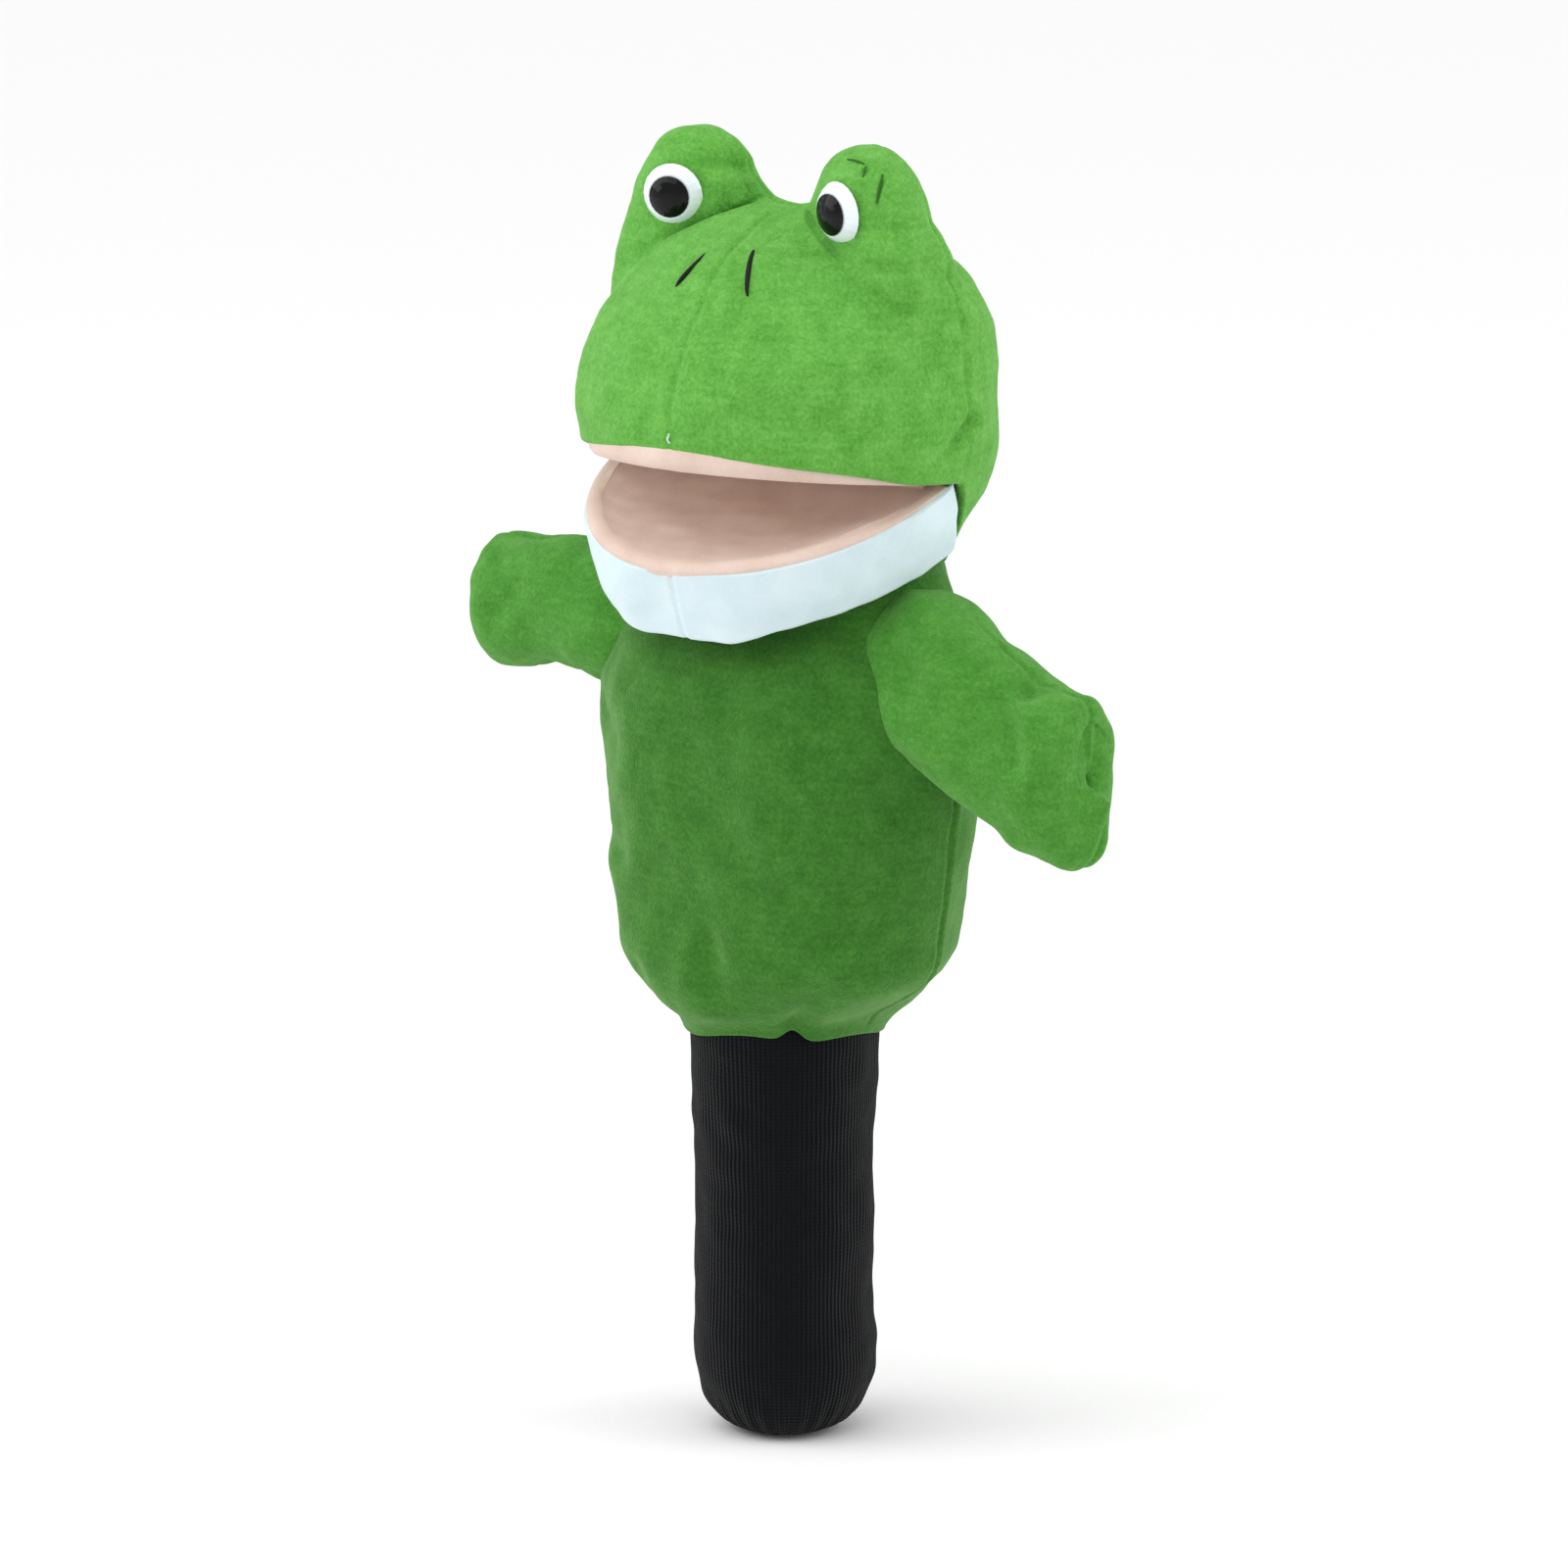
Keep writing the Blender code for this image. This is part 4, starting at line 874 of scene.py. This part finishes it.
@dataclass
class Mouth:
    """Palate and tongue cloths, the white chin band and the green throat below it."""

    finishes: Finishes
    hinge = (0.0, 0.0, 283.0)
    palate_pitch = math.radians(-6.6)
    tongue_pitch = math.radians(22.0)
    columns: int = 200

    # Sections of the cloths' outer edges, as (inset, height) pairs from the hidden side inwards.
    palate_edge = ((1.6, 7.6), (0.6, 5.6), (0.2, 3.6), (0.5, 1.5), (1.6, 0.3), (3.4, -0.1))
    tongue_edge = ((1.2, -3.2), (0.3, -1.4), (0.1, 0.0), (0.9, 1.1), (2.6, 1.6), (4.8, 1.4))

    def pitched(self, local: Array, pitch: float) -> Array:
        """Turn points about the hinge line and set them in place."""
        y = local[..., 1] * math.cos(pitch) - local[..., 2] * math.sin(pitch)
        z = local[..., 1] * math.sin(pitch) + local[..., 2] * math.cos(pitch)
        return np.stack((local[..., 0], y, z + self.hinge[2]), axis=-1)

    def cloth(self, name: str, width: float, depth: float, rolls: Sequence[tuple[float, float]], sag: float,
              pitch: float, body: str, nodes: Sequence[str], seed: int) -> bpy.types.Object:
        """One of the mouth's two cloths.

        Args:
            name: Piece name.
            width: Half width of its outline.
            depth: Reach of its outline in front of the hinge line.
            rolls: Section of its outer edge as (inset, height) pairs, from the hidden side inwards.
            sag: How far the middle of the cloth sinks, positive away from the mouth's opening.
            pitch: Its angle about the hinge line.
            body: Body it rides on.
            nodes: CAD nodes it stands for.
            seed: Seed of its unevenness.

        Returns:
            The cloth.
        """
        turn = np.linspace(math.pi, 2.0 * math.pi, self.columns)[None, :]
        rows = []
        for inset, height in rolls:
            edge_height = height * (0.25 + 0.75 * smooth_step(0.25, 0.7, -np.sin(turn)))
            rows.append(stacked((width - inset) * np.cos(turn), (depth - inset) * np.sin(turn), edge_height))
        last_inset = rolls[-1][0]
        for share in np.linspace(0.0, 0.985, 48)[1:]:
            shrink = 1.0 - share
            x = (width - last_inset) * np.cos(turn)
            y = (depth - last_inset) * np.sin(turn) * shrink
            dip = sag * (4.0 * shrink * share) ** 0.8 * (1.0 - np.abs(np.cos(turn)) ** 3)
            z = rows[len(rolls) - 1][..., 2] * shrink + dip
            rows.append(stacked(x, y, z))
        local = np.concatenate(rows, axis=0)
        rough = (0.25 * softness(local, 24.0, seed) + 0.08 * softness(local, 8.0, seed + 1)) \
            * smooth_step(2.0, 16.0, -local[..., 1])
        local[len(rolls):-6, :, 2] += rough[len(rolls):-6]
        apart = 0.4 if pitch < 0.0 else -0.4
        local[..., 2] += apart * (1.0 - smooth_step(0.0, 7.0, -local[..., 1]))
        points = self.pitched(local, pitch)
        piece = Maker.grid(name, points)
        Maker.dress(piece, self.finishes.mouth, "mouth_cloth")
        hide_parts(*nodes)
        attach(piece, body)
        return piece

    def band_outline(self, share: Array, turn: Array) -> tuple[Array, Array, Array]:
        """Width scale, depth scale and local height of the chin band from rim to lower edge."""
        across = curve_through((0.0, 0.3, 0.65, 1.0), (1.0, 1.0, 0.97, 0.92), share)
        along = curve_through((0.0, 0.3, 0.65, 1.0), (1.0, 1.02, 1.045, 1.05), share)
        front = np.clip(-np.sin(turn), 0.0, 1.0)
        drop = 22.0 - 3.5 * front + 3.0 * smooth_step(0.84, 0.97, front)
        return across, along, -drop * share

    def band(self) -> bpy.types.Object:
        """The chin band: white fleece from the rim of the tongue down to the throat."""
        columns = 320
        start = math.radians(2.6)
        turn = np.linspace(math.pi - start, 2.0 * math.pi + start, columns)[None, :]
        width, depth = 57.5, 60.5
        rows = []
        for angle in np.linspace(-0.5 * math.pi, 0.5 * math.pi, 7)[:-1]:
            inset = 1.3 - 1.3 * math.sin(angle)
            height = 0.7 * math.cos(angle) - 1.3 + (0.2 if angle > 0 else -0.6 * math.sin(-angle))
            rows.append(stacked((width - inset) * np.cos(turn), (depth - inset) * np.sin(turn), height))
        share = np.linspace(0.0, 1.0, 70)[:, None]
        across, along, height = self.band_outline(share, turn)
        rows.append(stacked(width * across * np.cos(turn), depth * along * np.sin(turn),
                            height - 1.1 * (1.0 - share)))
        local = np.concatenate(rows, axis=0)
        flat_front = depth * (1.0 + 0.012 * np.clip(-local[..., 2] / 20.0, 0.0, 1.0)) - 1.2
        local[..., 1] = -smooth_min(-local[..., 1], flat_front, 1.2)
        normals = -grid_normals(local, wrap=False)
        lift = 0.30 * softness(local, 26.0, 41) + 0.10 * softness(local, 9.0, 42)
        lift += seam_lift(np.abs(local[..., 0]), 0.5, 0.7)
        lift -= 0.8 * np.exp(-(np.minimum(turn - turn[:, :1], turn[:, -1:] - turn) * 57.0 / 1.2) ** 2)
        local[6:] += (normals * lift[..., None])[6:]
        edge = local[-1:]
        outward = unit(edge * np.array([1.0, 1.0, 0.0]))
        under = [edge - outward * inset + np.array([0.0, 0.0, rise])
                 for inset, rise in ((0.9, -0.9), (2.4, -0.5), (3.0, 3.0))]
        local = np.concatenate([local] + under, axis=0)
        piece = Maker.grid("chin_band", self.pitched(local, self.tongue_pitch), flip=True)
        Maker.dress(piece, self.finishes.fleece, "plush_white")
        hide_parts("chin_band_left", "chin_band_right")
        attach(piece, "jaw")
        return piece

    def throat(self) -> bpy.types.Object:
        """Green plush under the chin, from the band's lower edge in to the neck."""
        turn = np.linspace(math.pi, 2.0 * math.pi, 160)[None, :]
        share = np.linspace(0.0, 1.0, 30)[:, None]
        front = np.clip(-np.sin(turn), 0.0, 1.0)
        outer = stacked(50.0 * np.cos(turn), 57.8 * np.sin(turn), -20.5 + 2.2 * front)
        inner = stacked(38.0 * np.cos(turn), 24.0 * np.sin(turn), -25.0 + 8.0 * front)
        crown = stacked(3.0 * np.cos(turn), 2.0 * np.sin(turn), -13.0)
        under = outer * (1.0 - share)[..., None] + inner * share[..., None]
        under[..., 2] += 3.0 * np.sin(math.pi * share) ** 0.8
        closing = inner * (1.0 - share)[..., None] + crown * share[..., None]
        local = np.concatenate([under, closing[1:]])
        local[..., 2] += 0.2 * softness(local, 16.0, 57)
        piece = Maker.grid("throat", self.pitched(local, self.tongue_pitch), flip=True)
        # Darker body plush: painted shade under the chin.
        Maker.dress(piece, self.finishes.shaded_body_plush, "plush_body")
        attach(piece, "jaw")
        return piece

    def build(self) -> list[bpy.types.Object]:
        """Build the two cloths, the band and the throat."""
        palate = self.cloth("palate", 56.0, 56.5, self.palate_edge, 3.0, self.palate_pitch, "head",
                            ("palate_cloth",), 51)
        tongue = self.cloth("tongue", 57.2, 60.0, self.tongue_edge, -4.0, self.tongue_pitch, "jaw",
                            ("tongue_cloth", "tongue_board"), 53)
        return [palate, tongue, self.band(), self.throat()]


# ---- arms -----------------------------------------------------------------------------------------

@dataclass
class Arm:
    """A stuffed mitt with a blunt, seamed end."""

    finishes: Finishes
    side: Side
    spine: tuple[tuple[float, float, float], ...]
    tall: tuple[float, ...]
    deep: tuple[float, ...]
    folds: tuple[Fold, ...] = ()
    lean: float = 0.0
    columns: int = 220
    rows: int = 190
    root: float = 0.050      # metres from the middle, at the arm's root
    free: float = 0.074      # metres from the middle, out along the arm

    def frame(self, share: Array) -> tuple[Array, Array, Array]:
        """Spine points with the upward and the forward direction across the arm at each."""
        stations = np.linspace(0.0, 1.0, len(self.spine))
        points = stacked(*(curve_through(stations, coordinate, share) for coordinate in zip(*self.spine)))
        along = unit(np.gradient(points, share, axis=0))
        forward = np.tile(np.array([0.0, -1.0, 0.0]), (len(share), 1))
        up = unit(np.cross(along, forward) * self.side.value)
        forward = np.cross(up, along) * self.side.value
        return points, up, forward

    def build(self) -> list[bpy.types.Object]:
        """Build the arm as one closed mesh with a seam round its edge."""
        cap_turn = np.linspace(0.0, math.pi / 2, self.rows // 3)[1:]
        wall_rows = self.rows - len(cap_turn)
        share = np.concatenate((np.linspace(0.0, 0.9, wall_rows), 0.9 + 0.1 * np.sin(cap_turn) ** 0.8))
        blunt = np.concatenate((np.ones(wall_rows), np.clip(np.cos(cap_turn), 0.0, 1.0) ** 0.8))
        middle, up, forward = self.frame(share)
        stations = np.linspace(0.0, 1.0, len(self.tall))
        tall = curve_through(stations, self.tall, share)
        deep = curve_through(stations, self.deep, share)
        turn = np.linspace(0.0, 2.0 * math.pi, self.columns, endpoint=False)
        rise, out = squarish(np.cos(turn), 0.92), squarish(np.sin(turn), 0.92)
        along = unit(np.gradient(middle, share, axis=0))
        lean = self.lean * smooth_step(0.55, 1.0, share)
        points = (middle[:, None, :] + (lean * tall)[:, None, None] * rise[None, :, None] * along[:, None, :]
                  + (tall * blunt)[:, None, None] * rise[None, :, None] * up[:, None, :]
                  + (deep * blunt)[:, None, None] * out[None, :, None] * forward[:, None, :])
        normals = grid_normals(points, wrap=True)
        toward = points - middle[:, None, :]
        normals *= np.sign((normals * toward).sum(axis=-1, keepdims=True) + 1e-9)
        seed = 61 if self.side is Side.LEFT else 71
        lift = 0.7 * softness(points, 30.0, seed) + 0.25 * softness(points, 13.0, seed + 1) \
            + 0.05 * softness(points, 5.0, seed + 2)
        for fold in self.folds:
            lift = lift + fold.lift(points)
        edge = np.abs(np.sin(turn))[None, :] * (deep * blunt)[:, None]
        sewn = smooth_step(0.2, 0.45, share) * smooth_step(0.1, 0.7, blunt)
        lift = lift + seam_lift(edge, 0.8) * sewn[:, None]
        lift = lift * smooth_step(0.0, 0.12, blunt)[:, None]
        points = points + normals * lift[..., None]
        name = "arm_" + self.side.label
        piece = Maker.grid(name, points, wrap=True, end_pole=True, flip=self.side is Side.LEFT)
        # Darker arm plush: painted shade.
        Maker.dress(piece, self.finishes.arm_plush, "plush_body")
        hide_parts(name + "_front_panel", name + "_back_panel", name + "_filling")
        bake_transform(piece)
        return [piece]


def left_arm(finishes: Finishes) -> Arm:
    """The frog's left arm, hanging out and a little down."""
    return Arm(
        finishes, Side.LEFT,
        spine=((42.0, -2.0, 229.0), (53.0, -3.0, 227.0), (66.0, -4.0, 221.0), (82.0, -5.0, 213.0),
               (98.0, -6.0, 207.0), (113.0, -7.0, 203.0)),
        tall=(24.5, 25.5, 23.3, 22.0, 23.5, 24.5), deep=(18.0, 20.0, 20.5, 20.0, 19.0, 14.0),
        folds=(Fold(((88.0, -22.0, 232.0), (94.0, -20.0, 222.0), (98.0, -24.0, 212.0)), 3.0, 2.0),
               Fold(((92.0, -4.0, 238.0), (94.0, -14.0, 230.0)), 3.0, 2.2),
               Fold(((60.0, -24.0, 206.0), (72.0, -26.0, 204.0)), 4.0, 1.5),
               Fold(((58.0, -24.0, 238.0), (70.0, -24.0, 222.0)), 4.5, 1.4)), lean=0.22)


def right_arm(finishes: Finishes) -> Arm:
    """The frog's right arm, held straight out."""
    return Arm(
        finishes, Side.RIGHT,
        spine=((-42.0, -2.0, 229.5), (-53.0, -2.0, 231.5), (-66.0, -1.0, 235.0), (-80.0, 1.0, 235.0),
               (-94.0, 2.0, 232.5), (-105.0, 3.0, 231.5)),
        tall=(19.5, 19.5, 18.5, 18.5, 19.5, 18.0), deep=(18.0, 19.0, 19.0, 18.5, 17.5, 13.0),
        folds=(Fold(((-104.0, -12.0, 246.0), (-98.0, -16.0, 252.0), (-90.0, -14.0, 254.0)), 2.4, 3.0),
               Fold(((-84.0, -20.0, 240.0), (-92.0, -18.0, 232.0)), 3.5, 1.4),
               Fold(((-70.0, -20.0, 215.0), (-84.0, -18.0, 218.0)), 3.5, 1.4)))


# ---- small parts ----------------------------------------------------------------------------------

@dataclass
class SmallParts:
    """Nostril stitches, the thread end at the lip, the eyes and the hidden pieces."""

    finishes: Finishes
    head: Head

    def on_muzzle(self, x: float, height: float, lift: float) -> Array:
        """Point just proud of the muzzle at a sideways place and a height."""
        origin = np.array([[x, 4.0, height]])
        toward = np.array([[0.0, -1.0, 0.0]])
        return self.head.solve(origin, toward)[0] + np.array([0.0, -0.7, 0.7]) * lift

    def nostril(self, side: Side) -> bpy.types.Object:
        """A satin stitch of black thread that dips into the pile at both ends."""
        share = np.linspace(0.0, 1.0, 26)
        path = np.array([self.on_muzzle(side.value * (5.6 + 7.4 * s), 349.7 - 12.6 * s,
                                        0.5 - 2.2 * abs(2.0 * s - 1.0) ** 6) for s in share])
        radii = 0.75 * np.clip(np.sin(math.pi * np.clip(share, 0.02, 0.98)), 0.25, 1.0) ** 0.5
        piece = Maker.tube("nostril_thread_" + side.label, path, radii)
        Maker.dress(piece, self.finishes.thread, "thread")
        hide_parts("nostril_stitch_" + side.label)
        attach(piece, "head")
        return piece

    def thread_end(self) -> bpy.types.Object:
        """A pale thread end left where the muzzle's middle seam meets the lip."""
        share = np.linspace(0.0, 1.0, 18)
        path = np.array([
            self.on_muzzle(0.4 * math.sin(7.0 * s), 299.5 - 2.4 * s, 0.5 + 0.5 * math.sin(5.0 * s))
            for s in share])
        piece = Maker.tube("thread_end", path, np.full(18, 0.28), sides=8)
        Maker.dress(piece, self.finishes.pale_thread, "thread")
        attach(piece, "head")
        return piece

    def dart_stitch(self, number: int, path: Sequence[Sequence[float]]) -> bpy.types.Object:
        """Green thread lying in the groove of one dart."""
        share = np.linspace(0.0, 1.0, 14)[:, None]
        middle = np.array(self.head.centre)
        aimed = np.asarray(path[0]) * (1.0 - share) + np.asarray(path[1]) * share
        toward = unit(aimed - middle)
        points = self.head.solve(middle, toward) - toward * 0.25
        piece = Maker.tube(f"dart_thread_{number}", points, np.full(14, 0.28), sides=8)
        Maker.dress(piece, self.finishes.green_thread, "thread")
        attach(piece, "head")
        return piece

    def repaint(self, frame: dict) -> None:
        """Give the carried-over nodes their finishes."""
        finishes = {
            "eye_dome": self.finishes.eye_white, "eye_pupil": self.finishes.eye_black,
            "eye_washer": self.finishes.washer, "sleeve_inner": self.finishes.knit,
            "cuff": self.finishes.elastic, "body_lining": self.finishes.lining,
            "finger_pocket": self.finishes.lining, "thumb_pocket": self.finishes.lining,
            "palate_board": self.finishes.board, "mouth_fold": self.finishes.mouth,
            # The cheek gusset takes the darker body plush, with its painted shade.
            "cheek_gusset": self.finishes.shaded_body_plush,
        }
        for name, node in frame["nodes"].items():
            for start, finish in finishes.items():
                if name.startswith(start):
                    for holder in node.material_slots:
                        holder.material = finish

    def build(self, frame: dict) -> list[bpy.types.Object]:
        """Build the threads and repaint the rest."""
        self.repaint(frame)
        darts = [self.dart_stitch(number, path) for number, path in enumerate(self.head.darts)]
        return [self.nostril(Side.LEFT), self.nostril(Side.RIGHT), self.thread_end(), *darts]


# ---- studio ---------------------------------------------------------------------------------------

@dataclass
class Studio:
    """Pale floor, soft lights and the camera."""

    azimuth: float = 36.0
    elevation: float = 12.0
    distance: float = 3.0
    aim = (0.0, 0.0, 0.190)
    lens: float = 240.0
    floor_reach: float = 30.0
    floor_height: float = -0.0005
    sky_power: float = 1.25
    box_reach: float = 1.4
    box_size: float = 1.0
    box_power: float = 6.0
    world_strength: float = 0.70

    def toward(self, azimuth: float, elevation: float) -> Vector:
        """Unit vector from the aim towards a bearing."""
        a, e = math.radians(azimuth), math.radians(elevation)
        return Vector((math.sin(a) * math.cos(e), -math.cos(a) * math.cos(e), math.sin(e)))

    def soft_box(self, name: str, azimuth: float, elevation: float) -> None:
        """A square soft box that faces the puppet."""
        lamp = bpy.data.lights.new(name, "AREA")
        lamp.size = self.box_size
        lamp.energy = self.box_power
        holder = bpy.data.objects.new(name, lamp)
        bpy.context.collection.objects.link(holder)
        direction = self.toward(azimuth, elevation)
        holder.location = Vector(self.aim) + direction * self.box_reach
        holder.rotation_euler = direction.to_track_quat("Z", "Y").to_euler()

    def build(self) -> None:
        """Set up floor, lights, sky and camera."""
        floor_mesh = bpy.data.meshes.new("studio_floor")
        corners = [(x * self.floor_reach, y * self.floor_reach, self.floor_height)
                   for x, y in ((-1, -1), (1, -1), (1, 1), (-1, 1))]
        floor_mesh.from_pydata(corners, [], [(0, 1, 2, 3)])
        floor = bpy.data.objects.new("studio_floor", floor_mesh)
        bpy.context.collection.objects.link(floor)
        paint, tree, shader = new_material("matt_paper_white", "#f4f4f4")
        place = add_node(tree, "ShaderNodeTexCoord").outputs["Object"]
        tooth = add_node(tree, "ShaderNodeTexNoise", {"Vector": place, "Scale": per_metre(1.2)})
        tree.links.new(colour_ramp(tree, tooth.outputs["Fac"], ((0.0, "#f1f1f1"), (1.0, "#f7f7f7"))),
                       shader.inputs["Base Color"])
        shader.inputs["Roughness"].default_value = 0.9
        floor_mesh.materials.append(paint)

        sky_light = bpy.data.lights.new("overhead_diffuser", "SUN")
        sky_light.energy = self.sky_power
        sky_light.angle = math.radians(70.0)
        sky_holder = bpy.data.objects.new("overhead_diffuser", sky_light)
        bpy.context.collection.objects.link(sky_holder)
        sky_holder.rotation_euler = self.toward(-10.0, 68.0).to_track_quat("Z", "Y").to_euler()
        self.soft_box("left_soft_box", -50.0, 30.0)
        self.soft_box("right_soft_box", 118.0, 28.0)
        world = bpy.data.worlds.new("studio_sky")
        world.use_nodes = True
        background = world.node_tree.nodes["Background"]
        background.inputs["Color"].default_value = linear("#ffffff")
        background.inputs["Strength"].default_value = self.world_strength
        bpy.context.scene.world = world
        bpy.context.scene.view_settings.view_transform = "Standard"

        camera = bpy.data.cameras.new("camera")
        camera.lens = self.lens
        holder = bpy.data.objects.new("camera", camera)
        bpy.context.collection.objects.link(holder)
        direction = self.toward(self.azimuth, self.elevation)
        holder.location = Vector(self.aim) + direction * self.distance
        holder.rotation_euler = direction.to_track_quat("Z", "Y").to_euler()
        bpy.context.scene.camera = holder


def main() -> None:
    """Load the frame, build every sub-assembly in order and set the stage."""
    logging.basicConfig(level=logging.INFO, format="%(message)s")
    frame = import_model()
    finishes = Finishes()
    head = Head(finishes)
    builders: list[tuple[str, Callable[[], list[bpy.types.Object]]]] = [
        ("sleeve", Sleeve(finishes).build),
        ("body", BodyBag(finishes).build),
        ("head", head.build),
        ("mouth", Mouth(finishes).build),
        ("left arm", left_arm(finishes).build),
        ("right arm", right_arm(finishes).build),
        ("small parts", lambda: SmallParts(finishes, head).build(frame)),
    ]
    for name, build in builders:
        for piece in build():
            LOG.info("%s: %s, %d faces", name, piece.name, len(piece.data.polygons))
    Studio().build()


if __name__ == "__main__":
    main()
